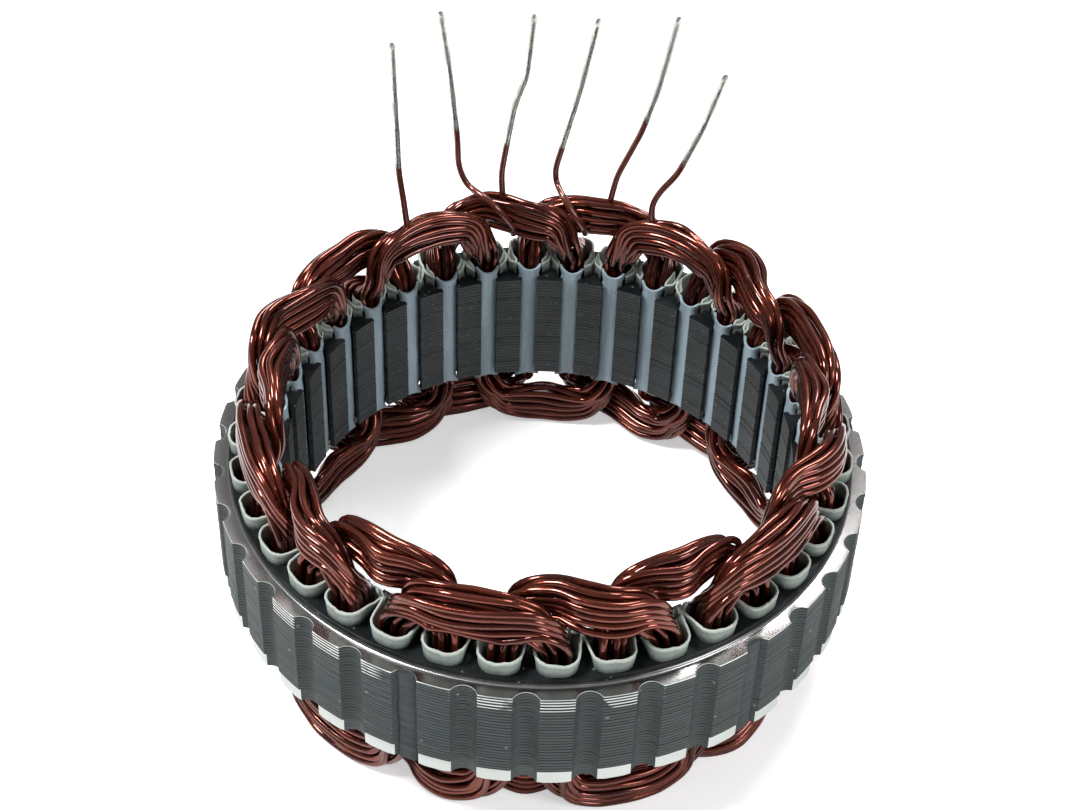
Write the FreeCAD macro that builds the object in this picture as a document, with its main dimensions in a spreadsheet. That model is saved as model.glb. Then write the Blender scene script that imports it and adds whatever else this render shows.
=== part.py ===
"""Wound alternator stator: a slotted, seam-welded lamination stack with three wave-wound phases.

Frame: the bore axis is Z, the winding's lower crests lie on Z = 0, and -Y is the front, opposite
the six phase leads. Slots lie midway between the outer notches, and a tooth is centred on +X.
"""
import FreeCAD, Part
import math
import os

import Sketcher
from FreeCAD import Placement, Rotation, Vector

DIMENSIONS = {
    # Lamination stack
    "bore_radius": 49.4,
    "slot_depth": 10.8,
    "yoke_depth": 3.8,
    "core_height": 26.2,
    "slot_count": 36,
    "tooth_width": 3.5,
    "mouth_width": 3.25,
    "tip_edge": 0.9,
    "tip_root": 1.25,
    "slot_corner": 1.8,
    "notch_radius": 2.7,
    "notch_depth": 1.8,
    "ledge_width": 3.1,
    "ledge_drop": 2.1,
    "band_step": 0.3,
    "band_height": 3.5,
    "seat_drop": 0.3,
    "weld_count": 6,
    "weld_width": 4.2,
    "weld_recess": 0.8,
    "weld_root": 2.2,
    # Slot liners and wedges
    "slot_clearance": 0.05,
    "liner_wall": 0.4,
    "liner_overhang": 3.5,
    "liner_ear_reach": 1.0,
    "liner_ear_gap": 0.2,
    "wedge_wall": 0.45,
    "wedge_flange": 1.1,
    "wedge_overhang": 2.6,
    # Winding
    "spanned_slot_count": 3,
    "leg_clearance": 0.4,
    "bend_rise": 3.0,
    "shoulder_drop": 1.0,
    "inner_lane_offset": 2.1,
    "inner_lane_depth": 3.7,
    "lane_gap": 0.55,
    "outer_lane_depth": 5.2,
    "hank_depth": 5.8,
    "hank_height": 8.8,
    "bottom_overhang": 15.85,
    "top_overhang_a": 15.4,
    "top_overhang_b": 16.3,
    "top_overhang_c": 17.1,
    "lead_side_lift": 2.6,
    "wire_diameter": 1.4,
    # How far a cut's outline runs past the surface that it cuts
    "overcut": 1.0,
}

# Sizes that follow from the ones above, as spreadsheet formulas.
DERIVED = {
    "slot_back_radius": "=bore_radius + slot_depth",
    "outer_radius": "=slot_back_radius + yoke_depth",
    "ledge_radius": "=outer_radius - ledge_width",
    "band_radius": "=outer_radius - band_step",
    "inner_lane_radius": "=bore_radius + inner_lane_offset",
    "outer_lane_radius": "=inner_lane_radius + inner_lane_depth / 2 + lane_gap + outer_lane_depth / 2",
}

HALF_PITCH = "180 deg / Sheet.slot_count"
HALF_TOOTH = f"Sheet.tooth_width / 2 / cos({HALF_PITCH})"
WIRE_FLATS = 8


def make_sheet(doc):
    """Writes the driving dimensions into a spreadsheet, one row each."""
    sheet = doc.addObject("Spreadsheet::Sheet", "Sheet")
    for row, (name, value) in enumerate({**DIMENSIONS, **DERIVED}.items(), start=1):
        sheet.set(f"A{row}", name)
        sheet.set(f"B{row}", str(value))
        sheet.setAlias(f"B{row}", name)
    doc.recompute()
    return sheet


def new_body(doc, label):
    """Adds an empty body with a name of its own."""
    body = doc.addObject("PartDesign::Body", label)
    body.Label = label
    return body


def flat_sketch(body, name, height, turn="0 deg"):
    """Adds a sketch parallel to XY at a height, turned about Z, both given as expressions."""
    sketch = body.newObject("Sketcher::SketchObject", name)
    plane = [item for item in body.Origin.OriginFeatures if item.Role == "XY_Plane"][0]
    sketch.AttachmentSupport = (plane, [""])
    sketch.MapMode = "FlatFace"
    sketch.setExpression(".AttachmentOffset.Base.z", height)
    sketch.setExpression(".AttachmentOffset.Rotation.Angle", turn)
    return sketch


def add_outline(sketch, corners):
    """Draws a closed outline whose corners follow pairs of expressions."""
    points = []
    for x, y in corners:
        points.append(Vector(float(sketch.evalExpression(x)), float(sketch.evalExpression(y)), 0))
    first = sketch.GeometryCount
    count = len(corners)
    for index in range(count):
        sketch.addGeometry(Part.LineSegment(points[index], points[(index + 1) % count]), False)
    for index in range(count):
        line = first + index
        sketch.addConstraint(Sketcher.Constraint("Coincident", line, 2, first + (index + 1) % count, 1))
        for kind, value, expression in (
            ("DistanceX", points[index].x, corners[index][0]),
            ("DistanceY", points[index].y, corners[index][1]),
        ):
            number = sketch.addConstraint(Sketcher.Constraint(kind, -1, 1, line, 1, value))
            sketch.setExpression(f"Constraints[{number}]", expression)


def add_circle(sketch, radius, centre="0"):
    """Draws a circle centred on the sketch's X axis; radius and centre are expressions."""
    middle = float(sketch.evalExpression(centre))
    size = float(sketch.evalExpression(radius))
    circle = sketch.addGeometry(Part.Circle(Vector(middle, 0, 0), Vector(0, 0, 1), size), False)
    number = sketch.addConstraint(Sketcher.Constraint("Radius", circle, size))
    sketch.setExpression(f"Constraints[{number}]", radius)
    number = sketch.addConstraint(Sketcher.Constraint("DistanceX", -1, 1, circle, 3, middle))
    sketch.setExpression(f"Constraints[{number}]", centre)
    sketch.addConstraint(Sketcher.Constraint("PointOnObject", circle, 3, -1))


def add_pad(body, name, sketch, length):
    """Pads a sketch upwards by an expression."""
    pad = body.newObject("PartDesign::Pad", name)
    pad.Profile = sketch
    pad.setExpression("Length", length)
    sketch.Visibility = False
    return pad


def add_pocket(body, name, sketch, depth):
    """Cuts a sketch upwards into the body by an expression."""
    pocket = body.newObject("PartDesign::Pocket", name)
    pocket.Profile = sketch
    pocket.setExpression("Length", depth)
    pocket.Reversed = True
    sketch.Visibility = False
    return pocket


def add_ring_of(body, name, feature, count):
    """Repeats a feature round the bore axis; the count is an expression."""
    ring = body.newObject("PartDesign::PolarPattern", name)
    ring.Originals = [feature]
    axis = [item for item in body.Origin.OriginFeatures if item.Role == "Z_Axis"][0]
    ring.Axis = (axis, [""])
    ring.Angle = 360
    ring.setExpression("Occurrences", count)
    body.Tip = ring
    return ring


def mirrored(corners):
    """Completes an outline that is symmetric about the X axis from its upper half."""
    return corners + [(x, f"-({y})") for x, y in reversed(corners)]


def slot_side(radius, inset="0"):
    """Half the slot's width at a radius, less an inset, as an expression."""
    return f"(({radius}) * tan({HALF_PITCH}) - {HALF_TOOTH}) - ({inset})"


def make_lamination_stack(doc):
    """The welded pack of laminations: slots, tooth tips, notches, turned steps and weld seams."""
    body = new_body(doc, "lamination_stack")
    bottom = "Sheet.bottom_overhang"
    ring = flat_sketch(body, "ring_outline", bottom)
    add_circle(ring, "Sheet.outer_radius")
    add_circle(ring, "Sheet.bore_radius")
    add_pad(body, "ring", ring, "Sheet.core_height")
    doc.recompute()

    ledge = flat_sketch(body, "ledge_outline", f"{bottom} + Sheet.core_height - Sheet.ledge_drop")
    add_circle(ledge, "Sheet.outer_radius + Sheet.overcut")
    add_circle(ledge, "Sheet.ledge_radius")
    add_pocket(body, "ledge", ledge, "Sheet.ledge_drop")
    band = flat_sketch(body, "band_outline", bottom)
    add_circle(band, "Sheet.outer_radius + Sheet.overcut")
    add_circle(band, "Sheet.band_radius")
    add_pocket(body, "band", band, "Sheet.band_height")
    seat = flat_sketch(body, "seat_outline", bottom)
    add_circle(seat, "Sheet.outer_radius + Sheet.overcut")
    add_circle(seat, "Sheet.ledge_radius")
    add_pocket(body, "seat", seat, "Sheet.seat_drop")

    notch = flat_sketch(body, "notch_outline", bottom)
    add_circle(notch, "Sheet.notch_radius", "Sheet.outer_radius - Sheet.notch_depth + Sheet.notch_radius")
    cut = add_pocket(body, "notch", notch, "Sheet.core_height")
    add_ring_of(body, "notches", cut, "Sheet.slot_count")

    root = "(Sheet.bore_radius + Sheet.tip_root)"
    back = "Sheet.slot_back_radius"
    slot = flat_sketch(body, "slot_outline", bottom, HALF_PITCH)
    half_slot = [
        ("Sheet.bore_radius - Sheet.overcut", "Sheet.mouth_width / 2"),
        ("Sheet.bore_radius + Sheet.tip_edge", "Sheet.mouth_width / 2"),
        (root, slot_side(root)),
        (f"{back} - Sheet.slot_corner", slot_side(f"{back} - Sheet.slot_corner")),
        (back, slot_side(back, "Sheet.slot_corner")),
    ]
    add_outline(slot, mirrored(half_slot))
    cut = add_pocket(body, "slot", slot, "Sheet.core_height")
    add_ring_of(body, "slots", cut, "Sheet.slot_count")

    seam = flat_sketch(body, "weld_outline", f"{bottom} + Sheet.seat_drop", "360 deg / Sheet.slot_count")
    outer = "Sheet.outer_radius - Sheet.weld_recess"
    half_seam = [(f"{outer} - Sheet.weld_root", "Sheet.weld_width / 2"), (outer, "Sheet.weld_width / 2")]
    add_outline(seam, mirrored(half_seam))
    bead = add_pad(body, "weld_seam", seam, "Sheet.core_height - Sheet.ledge_drop - Sheet.seat_drop")
    add_ring_of(body, "weld_seams", bead, "Sheet.weld_count")
    return body


def make_slot_liner(doc):
    """One folded paper liner: a U that fills the slot, with ears spread over the teeth at both ends."""
    body = new_body(doc, "slot_liner_01")
    gap = "Sheet.slot_clearance"
    wall = "Sheet.liner_wall"
    start = f"(Sheet.bore_radius + Sheet.tip_root + 2 * {gap} + Sheet.wedge_flange)"
    back = f"(Sheet.slot_back_radius - {gap})"
    corner = "Sheet.slot_corner"
    outer = [
        (start, slot_side(start, gap)),
        (f"{back} - {corner}", slot_side(f"{back} - {corner}", gap)),
        (back, slot_side(back, f"{gap} + {corner}")),
    ]
    inset = f"{gap} + {wall}"
    inner = [
        (f"{back} - {wall}", slot_side(f"{back} - {wall}", f"{inset} + {corner}")),
        (f"{back} - {wall} - {corner}", slot_side(f"{back} - {wall} - {corner}", inset)),
        (start, slot_side(start, inset)),
    ]
    outline = outer + [(x, f"-({y})") for x, y in reversed(outer)]
    outline += [(x, f"-({y})") for x, y in reversed(inner)] + inner
    shell = flat_sketch(body, "liner_outline", "Sheet.bottom_overhang - Sheet.liner_overhang", HALF_PITCH)
    add_outline(shell, outline)
    add_pad(body, "liner", shell, "Sheet.core_height + 2 * Sheet.liner_overhang")
    doc.recompute()

    far = f"({start} + Sheet.liner_ear_reach)"
    tooth = f"({far} * tan({HALF_PITCH}) - Sheet.liner_ear_gap)"
    for end, height in (("lower", "Sheet.bottom_overhang - Sheet.liner_overhang"),
                        ("upper", "Sheet.bottom_overhang + Sheet.core_height")):
        for side, sign in (("left", "1"), ("right", "-1")):
            ear = flat_sketch(body, f"{end}_{side}_ear_outline", height, HALF_PITCH)
            corners = [
                (start, f"{sign} * ({slot_side(start, gap)})"),
                (f"{start} + {wall}", f"{sign} * ({slot_side(f'{start} + {wall}', gap)})"),
                (f"{far} + {wall}", f"{sign} * {tooth}"),
                (far, f"{sign} * {tooth}"),
            ]
            add_outline(ear, corners)
            add_pad(body, f"{end}_{side}_ear", ear, "Sheet.liner_overhang")
    return body


def make_slot_wedge(doc):
    """One slot wedge: a C-shaped strip that closes the slot behind the tooth tips."""
    body = new_body(doc, "slot_wedge")
    gap = "Sheet.slot_clearance"
    wall = "Sheet.wedge_wall"
    front = f"(Sheet.bore_radius + Sheet.tip_root + {gap})"
    end = f"({front} + Sheet.wedge_flange)"
    web = f"({front} + {wall})"
    half = [
        (end, slot_side(end, f"{gap} + {wall}")),
        (web, slot_side(web, f"{gap} + {wall}")),
    ]
    outline = [(front, slot_side(front, gap)), (end, slot_side(end, gap))] + half
    outline += [(x, f"-({y})") for x, y in reversed(outline)]
    strip = flat_sketch(body, "wedge_outline", "Sheet.bottom_overhang - Sheet.wedge_overhang", HALF_PITCH)
    add_outline(strip, outline)
    add_pad(body, "wedge", strip, "Sheet.core_height + 2 * Sheet.wedge_overhang")
    return body


# A hank's way from slot to slot: the shares of its span where it leaves the liner, bends, turns level
# and leaves its lane for the middle of the ring.
LEG_SHARE = 0.0
BEND_SHARE = 0.04
SHOULDER_SHARE = 0.14
LANE_SHARE = 0.34
MIDDLE_SHARE = 0.5
# The flat share of each side of a bundle's eight-sided section.
SECTION_FLAT = 0.45

# Phase name: first slot, then the lanes of its upper hanks where they start and end.
PHASES = {
    "a": (0, "outer", "outer"),
    "b": (2, "inner", "outer"),
    "c": (4, "inner", "inner"),
}

# Lead name: phase, angle of its foot on the crest, then its route as steps sideways and up from there.
LEADS = {
    "phase_a_lead_start": ("a", 88.0, ((0, -2), (-1.7, 3), (-1.9, 6.5), (-0.4, 13), (2.7, 27), (5.6, 43.5))),
    "phase_a_lead_end": ("a", 78.0, ((0, -2), (1.3, 6), (5.8, 17.5), (8.6, 28), (11.5, 45))),
    "phase_b_lead_start": ("b", 101.0, ((0, -2), (-0.5, 5.5), (0.4, 12), (2.0, 23), (4.3, 30), (5.4, 44))),
    "phase_b_lead_end": ("b", 107.0, ((0, -2), (-2.2, 2), (-3.6, 7), (-3.6, 14), (-5.2, 31), (-7, 44))),
    "phase_c_lead_start": ("c", 66.0, ((0, -2), (-0.7, 3.5), (0.7, 7), (4, 11.5), (8.5, 23.5), (11.9, 36))),
    "phase_c_lead_end": ("c", 125.0, ((0, -2), (-0.8, 6), (-1.4, 12.5), (-1.8, 42))),
}


class Winding:
    """The three phases' paths and sections, worked out from the sheet."""

    def __init__(self, sheet):
        self.size = {name: float(sheet.get(name)) for name in (*DIMENSIONS, *DERIVED)}
        size = self.size
        self.pitch = 360.0 / size["slot_count"]
        self.spanned = int(size["spanned_slot_count"])
        self.span = self.spanned * self.pitch
        paper = size["slot_clearance"] + size["liner_wall"]
        inner = size["bore_radius"] + size["tip_root"] + size["slot_clearance"] + size["wedge_wall"]
        outer = size["slot_back_radius"] - paper
        self.leg_radius = (inner + outer) / 2
        self.leg_depth = outer - inner - 2 * size["leg_clearance"]
        half_pitch = math.radians(self.pitch / 2)
        slot_side = self.leg_radius * math.tan(half_pitch) - size["tooth_width"] / 2 / math.cos(half_pitch)
        self.leg_width = 2 * (slot_side - paper - size["leg_clearance"])
        spare = (size["hank_depth"] - size["outer_lane_depth"]) / 2
        self.run_radius = {"outer": size["outer_lane_radius"] - spare}
        spare = (size["hank_depth"] - size["inner_lane_depth"]) / 2
        self.run_radius["inner"] = size["inner_lane_radius"] + spare
        self.core_bottom = size["bottom_overhang"]
        self.core_top = self.core_bottom + size["core_height"]

    def overhang(self, phase, end, angle):
        """How far a phase's crest stands off the core at an angle about the axis."""
        if end < 0:
            return self.size["bottom_overhang"]
        lift = self.size["lead_side_lift"] * (1 + math.sin(math.radians(angle))) / 2
        return self.size[f"top_overhang_{phase}"] + lift

    def face(self, end):
        """The height of the core's face at an end, +1 for the top."""
        return self.core_top if end > 0 else self.core_bottom

    def hank(self, phase, end, first_angle):
        """Stations of one hank: angle, radius, height, half depth and half height of its section."""
        _, start_lane, end_lane = PHASES[phase]
        middle = (self.run_radius[start_lane] + self.run_radius[end_lane]) / 2
        start = self.half_hank(phase, end, first_angle, 1, start_lane, middle)
        finish = self.half_hank(phase, end, first_angle + self.span, -1, end_lane, middle)
        return start + finish[-2::-1]

    def half_hank(self, phase, end, slot_angle, turn, lane, middle):
        """Stations from a slot to the hank's middle radius; turn is +1 for the half that starts it."""
        size = self.size
        half = size["hank_height"] / 2
        leg = self.leg_width / 2
        radius, depth = size[f"{lane}_lane_radius"], size[f"{lane}_lane_depth"] / 2
        out_of_liner = size["liner_overhang"] + size["slot_clearance"]
        stations = []
        for share in (LEG_SHARE, BEND_SHARE, SHOULDER_SHARE, LANE_SHARE, MIDDLE_SHARE):
            angle = slot_angle + turn * share * self.span
            level = self.overhang(phase, end, angle) - half
            height, section = {
                LEG_SHARE: (out_of_liner, (self.leg_radius, self.leg_depth / 2, leg)),
                BEND_SHARE: (out_of_liner + size["bend_rise"], (radius, depth, (leg + half) / 2)),
                SHOULDER_SHARE: (level - size["shoulder_drop"], (radius, depth, half)),
                LANE_SHARE: (level, (radius, depth, half)),
                MIDDLE_SHARE: (level, (middle, size["hank_depth"] / 2, half)),
            }[share]
            stations.append((angle, section[0], self.face(end) + end * height, section[1], section[2]))
        return stations

    def wave(self, phase):
        """All stations of one phase in order round the ring, with the legs' ends marked."""
        first_slot = PHASES[phase][0]
        stations = []
        for pair in range(int(self.size["slot_count"]) // (2 * self.spanned)):
            slot = first_slot + 2 * pair * self.spanned
            angle = (slot + 0.5) * self.pitch
            stations += self.hank(phase, 1, angle)
            stations += self.hank(phase, -1, angle + self.span)
        return stations

    def section(self, before, station, after):
        """The eight-sided section at a station, square to the way from the one before to the one after."""
        angle, radius, height, depth, width = station
        outward = Vector(math.cos(math.radians(angle)), math.sin(math.radians(angle)), 0)
        way = polar_point(*after[:3]) - polar_point(*before[:3])
        leg = radius == self.leg_radius
        if leg:
            way = Vector(0, 0, way.z)
        way.normalize()
        across = outward - way * outward.dot(way)
        across.normalize()
        normal = way.cross(across)
        centre = polar_point(angle, radius, height)
        spread = math.tan(math.radians(self.pitch / 2)) / width if leg else 0
        flat = SECTION_FLAT
        corners = []
        for along, beside in ((1, flat), (flat, 1), (-flat, 1), (-1, flat),
                              (-1, -flat), (-flat, -1), (flat, -1), (1, -flat)):
            taper = 1 + spread * along * depth
            corners.append(centre + across * (along * depth) + normal * (beside * width * taper))
        return corners

    def shape(self, phase):
        """One phase's bundle: flat facets from section to section round its closed wave."""
        stations = self.wave(phase)
        count = len(stations)
        sections = [
            self.section(stations[index - 1], stations[index], stations[(index + 1) % count])
            for index in range(count)
        ]
        facets = []
        for index in range(count):
            here, there = sections[index], sections[(index + 1) % count]
            for corner in range(len(here)):
                beside = (corner + 1) % len(here)
                facets.append(flat_facet(here[corner], here[beside], there[beside]))
                facets.append(flat_facet(here[corner], there[beside], there[corner]))
        shell = Part.Shell(facets)
        return Part.Solid(shell)

    def crest(self, phase, angle):
        """The crest of a phase's upper hank at an angle."""
        way = [item for item in self.wave(phase) if item[2] > self.core_top]
        for before, after in zip(way, way[1:]):
            if before[0] <= angle < after[0] and after[0] - before[0] < self.span:
                share = (angle - before[0]) / (after[0] - before[0])
                low, high = polar_point(*before[:3]), polar_point(*after[:3])
                return low + (high - low) * share + Vector(0, 0, self.size["hank_height"] / 2)
        raise ValueError(f"no hank of phase {phase} at {angle} degrees")


def polar_point(angle, radius, height):
    """A point from its angle in degrees, radius and height."""
    turn = math.radians(angle)
    return Vector(radius * math.cos(turn), radius * math.sin(turn), height)


def flat_facet(*corners):
    """A flat face between three corners."""
    return Part.Face(Part.makePolygon([*corners, corners[0]]))


def bent_wire(points, diameter):
    """A solid wire with flat sides along straight runs with mitred bends."""
    way = points[1] - points[0]
    way.normalize()
    aside = way.cross(Vector(0, 1, 0))
    aside.normalize()
    beside = way.cross(aside)
    corners = []
    for flat in range(WIRE_FLATS):
        turn = 2 * math.pi * (flat + 0.5) / WIRE_FLATS
        reach = diameter / 2
        corners.append(points[0] + aside * (reach * math.cos(turn)) + beside * (reach * math.sin(turn)))
    start = Part.makePolygon(corners + corners[:1])
    return Part.makePolygon(points).makePipeShell([start], True, True, 1)


def add_feature(doc, label, shape, placement=Placement()):
    """Adds a sub-part from a finished shape, then places it."""
    feature = doc.addObject("Part::Feature", label)
    feature.Label = label
    feature.Shape = shape
    feature.Placement = placement
    return feature


def turned(steps, pitch):
    """The placement of a copy turned about the bore axis by whole slot pitches."""
    return Placement(Vector(0, 0, 0), Rotation(Vector(0, 0, 1), steps * pitch))


def main():
    """Builds the stator, checks it and writes one STEP file for each sub-part."""
    doc = FreeCAD.newDocument("stator")
    sheet = make_sheet(doc)
    stack = make_lamination_stack(doc)
    liner = make_slot_liner(doc)
    wedge = make_slot_wedge(doc)
    doc.recompute()

    winding = Winding(sheet)
    slots = int(winding.size["slot_count"])
    parts = [stack, liner]
    for slot in range(1, slots):
        label = f"slot_liner_{slot + 1:02d}"
        parts.append(add_feature(doc, label, liner.Shape, turned(slot, winding.pitch)))

    strips = {}
    for phase, (first, _, _) in PHASES.items():
        strips[phase] = []
        for slot in range(first, first + slots, winding.spanned):
            strip = wedge.Shape.copy()
            strip.Placement = turned(slot, winding.pitch)
            strips[phase].append(strip)
        parts.append(add_feature(doc, f"slot_wedges_{phase}", Part.makeCompound(strips[phase])))

    shapes = {}
    for phase in PHASES:
        shapes[phase] = winding.shape(phase)
        parts.append(add_feature(doc, f"phase_{phase}_winding", shapes[phase]))

    for label, (phase, angle, route) in LEADS.items():
        foot = winding.crest(phase, angle)
        points = [foot + Vector(aside, 0, up) for aside, up in route]
        wire = bent_wire(points, winding.size["wire_diameter"]).cut(shapes[phase])
        parts.append(add_feature(doc, label, wire))

    doc.recompute()
    for item in doc.Objects:
        if "Invalid" in item.State or "Error" in item.State:
            raise RuntimeError(f"{item.Label} failed: {item.State}")
    for part in parts:
        if part.Shape.isNull() or not part.Shape.isValid():
            raise RuntimeError(f"{part.Label} has no valid shape")
    os.makedirs("parts", exist_ok=True)
    for part in parts:
        part.Shape.exportStep(f"parts/{part.Label}.step")
    print(f"{len(parts)} sub-parts written")


main()
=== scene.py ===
"""Dresses a wound alternator stator: welded laminations, paper liners, wedges, windings and leads.

Lengths are in millimetres until a mesh is made, and every surface is a grid of points worked out
as whole arrays. The bore axis is Z, and the front is towards -Y.
"""

import logging
import math
from dataclasses import dataclass, field
from enum import Enum, IntEnum

import bpy
import numpy as np
from mathutils import Matrix, Vector
from mathutils.geometry import tessellate_polygon


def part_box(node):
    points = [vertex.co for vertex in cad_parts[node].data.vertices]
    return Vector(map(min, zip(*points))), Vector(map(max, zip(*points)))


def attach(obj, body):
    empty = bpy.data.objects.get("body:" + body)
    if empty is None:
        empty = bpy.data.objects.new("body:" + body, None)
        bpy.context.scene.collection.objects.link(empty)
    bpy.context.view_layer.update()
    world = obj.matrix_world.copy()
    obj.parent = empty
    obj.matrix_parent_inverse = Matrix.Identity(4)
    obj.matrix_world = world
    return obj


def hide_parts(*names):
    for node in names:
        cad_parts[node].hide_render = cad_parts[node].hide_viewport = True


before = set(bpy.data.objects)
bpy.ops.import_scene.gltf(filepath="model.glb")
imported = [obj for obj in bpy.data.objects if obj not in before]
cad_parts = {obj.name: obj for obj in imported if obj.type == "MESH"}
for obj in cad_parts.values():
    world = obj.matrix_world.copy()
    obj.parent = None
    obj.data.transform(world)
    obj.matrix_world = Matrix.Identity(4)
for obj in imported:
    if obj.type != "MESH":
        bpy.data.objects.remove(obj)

LOG = logging.getLogger("stator")
MM = 0.001
STEP = 0.5  # the walk along a line before it is smoothed, in millimetres
BODY = "root"
SLOTS = 36
SLOTS_PER_HANK = 3
PITCH = 360.0 / SLOTS
HALF_PITCH = math.radians(PITCH / 2)


# ---------------------------------------------------------------- mesh helpers

def polar(radius: np.ndarray, degrees: np.ndarray, height: np.ndarray) -> np.ndarray:
    """Points from radius, angle about the bore axis and height, as (..., 3)."""
    angle = np.radians(degrees)
    parts = np.broadcast_arrays(radius * np.cos(angle), radius * np.sin(angle), height)
    return np.stack(parts, axis=-1)


def turned(points: np.ndarray, degrees: float) -> np.ndarray:
    """Points turned about the bore axis."""
    angle = math.radians(degrees)
    cosine, sine = math.cos(angle), math.sin(angle)
    matrix = np.array([[cosine, sine, 0.0], [-sine, cosine, 0.0], [0.0, 0.0, 1.0]])
    return points @ matrix


def unit(vectors: np.ndarray) -> np.ndarray:
    """Vectors brought to length one."""
    return vectors / np.linalg.norm(vectors, axis=1, keepdims=True)


def square_to(way: np.ndarray, outward: np.ndarray) -> np.ndarray:
    """The unit directions square to a way that lean most outward."""
    return unit(outward - way * np.sum(outward * way, axis=1, keepdims=True))


def distance_along(points: np.ndarray) -> np.ndarray:
    """The distance walked along a line at each of its points."""
    return np.concatenate([[0.0], np.cumsum(np.linalg.norm(np.diff(points, axis=0), axis=1))])


def sample(places: np.ndarray, known: np.ndarray, values: np.ndarray) -> np.ndarray:
    """Columns of values, known at some distances along a line, read at others."""
    return np.stack([np.interp(places, known, column) for column in values.T], axis=1)


def end_caps(rows: int, columns: int) -> np.ndarray:
    """The two faces that close the first and the last ring of a tube."""
    ring = np.arange(columns)
    return np.stack([ring[::-1], ring + (rows - 1) * columns])


def repeated(faces: np.ndarray, copies: int, stride: int) -> list[list[int]]:
    """The faces of like shells in one mesh, each shell's points following the last one's.

    Args:
        faces: (n, corners) point numbers of the first shell.
        copies: how many shells there are.
        stride: the points in each.
    Returns:
        The faces of all shells.
    """
    starts = stride * np.arange(copies)[:, None, None]
    return (faces[None] + starts).reshape(-1, faces.shape[1]).tolist()


def grid_faces(rows: int, columns: int, close_rows: bool = False, close_columns: bool = False,
               keep: np.ndarray | None = None) -> np.ndarray:
    """Quads of a grid of points, facing along (next column) x (next row).

    Args:
        rows, columns: the grid's size in points.
        close_rows, close_columns: joins the last row or column to the first.
        keep: a mask of the quads to keep, as (rows, columns) of quads.
    Returns:
        The quads as an (n, 4) array of point numbers.
    """
    row = np.arange(rows if close_rows else rows - 1)
    column = np.arange(columns if close_columns else columns - 1)
    i, j = np.meshgrid(row, column, indexing="ij")
    following, beside = (i + 1) % rows, (j + 1) % columns
    quads = np.stack([i * columns + j, i * columns + beside,
                      following * columns + beside, following * columns + j], axis=-1)
    if keep is not None:
        return quads[keep]
    return quads.reshape(-1, 4)


def make_piece(name: str, points: np.ndarray, faces: list, materials: list[bpy.types.Material],
               sharp: float, indices: np.ndarray | None = None,
               layers: dict[str, np.ndarray] | None = None) -> bpy.types.Object:
    """Makes an object whose place is in its mesh.

    Args:
        name: the piece's name.
        points: (n, 3) points in millimetres.
        faces: lists of point numbers.
        materials: the piece's finishes.
        sharp: the angle in degrees past which an edge stays sharp.
        indices: which finish each face takes.
        layers: named values per point, for the finish to read.
    Returns:
        The object, riding on the stator's body.
    """
    mesh = bpy.data.meshes.new(name)
    mesh.from_pydata((points * MM).tolist(), [], faces)
    for material in materials:
        mesh.materials.append(material)
    if indices is not None:
        mesh.polygons.foreach_set("material_index", indices.astype(np.int32))
    for label, values in (layers or {}).items():
        layer = mesh.attributes.new(label, "FLOAT", "POINT")
        layer.data.foreach_set("value", values.astype(np.float32).ravel())
    mesh.polygons.foreach_set("use_smooth", np.ones(len(mesh.polygons), dtype=bool))
    mesh.set_sharp_from_angle(angle=math.radians(sharp))
    mesh.update()
    piece = bpy.data.objects.new(name, mesh)
    bpy.context.scene.collection.objects.link(piece)
    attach(piece, BODY)
    LOG.info("%s: %d points, %d faces", name, len(mesh.vertices), len(mesh.polygons))
    return piece


def smooth_path(points: np.ndarray, closed: bool, width: int) -> np.ndarray:
    """Values along an even path averaged over a window, which rounds its corners.

    Args:
        points: (n, k) values at even steps.
        closed: whether the path returns to its start.
        width: half the window, in steps.
    Returns:
        The smoothed values; an open path keeps its ends.
    """
    kernel = np.hanning(2 * width + 3)[1:-1]
    kernel /= kernel.sum()
    if closed:
        padded = np.concatenate([points[-width:], points, points[:width]])
    else:
        before = 2 * points[0] - points[1:width + 1][::-1]
        after = 2 * points[-1] - points[-width - 1:-1][::-1]
        padded = np.concatenate([before, points, after])
    columns = [np.convolve(padded[:, k], kernel, mode="valid") for k in range(points.shape[1])]
    return np.stack(columns, axis=1)


def tube_surface(path: np.ndarray, outward: np.ndarray, radius: np.ndarray, sides: int,
                 closed: bool) -> np.ndarray:
    """A round tube: circles of a radius carried along a path, square to it.

    Args:
        path: (n, 3) points of the middle line.
        outward: (n, 3) a direction beside the path that the circles start from.
        radius: the tube's radius at each point.
        sides: points round each circle.
        closed: whether the path is a loop.
    Returns:
        (n, sides, 3) points.
    """
    if closed:
        way = np.roll(path, -1, axis=0) - np.roll(path, 1, axis=0)
    else:
        way = np.gradient(path, axis=0)
    way = unit(way)
    across = square_to(way, outward)
    beside = np.cross(way, across)
    turn = (2 * np.pi * np.arange(sides) / sides)[None, :, None]
    ring = across[:, None] * np.cos(turn) + beside[:, None] * np.sin(turn)
    return path[:, None] + ring * np.asarray(radius).reshape(-1, 1, 1)


# ---------------------------------------------------------------- shader groups and finishes

@dataclass(frozen=True)
class Colour:
    """A linear colour."""

    red: float
    green: float
    blue: float

    def __mul__(self, factor: float) -> "Colour":
        """The colour made lighter or darker by a factor."""
        return Colour(self.red * factor, self.green * factor, self.blue * factor)

    @property
    def rgba(self) -> tuple[float, float, float, float]:
        """The colour as a socket takes it."""
        return (self.red, self.green, self.blue, 1.0)


GREY = Colour(0.5, 0.5, 0.5)
WHITE = Colour(1.0, 1.0, 1.0)


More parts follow.
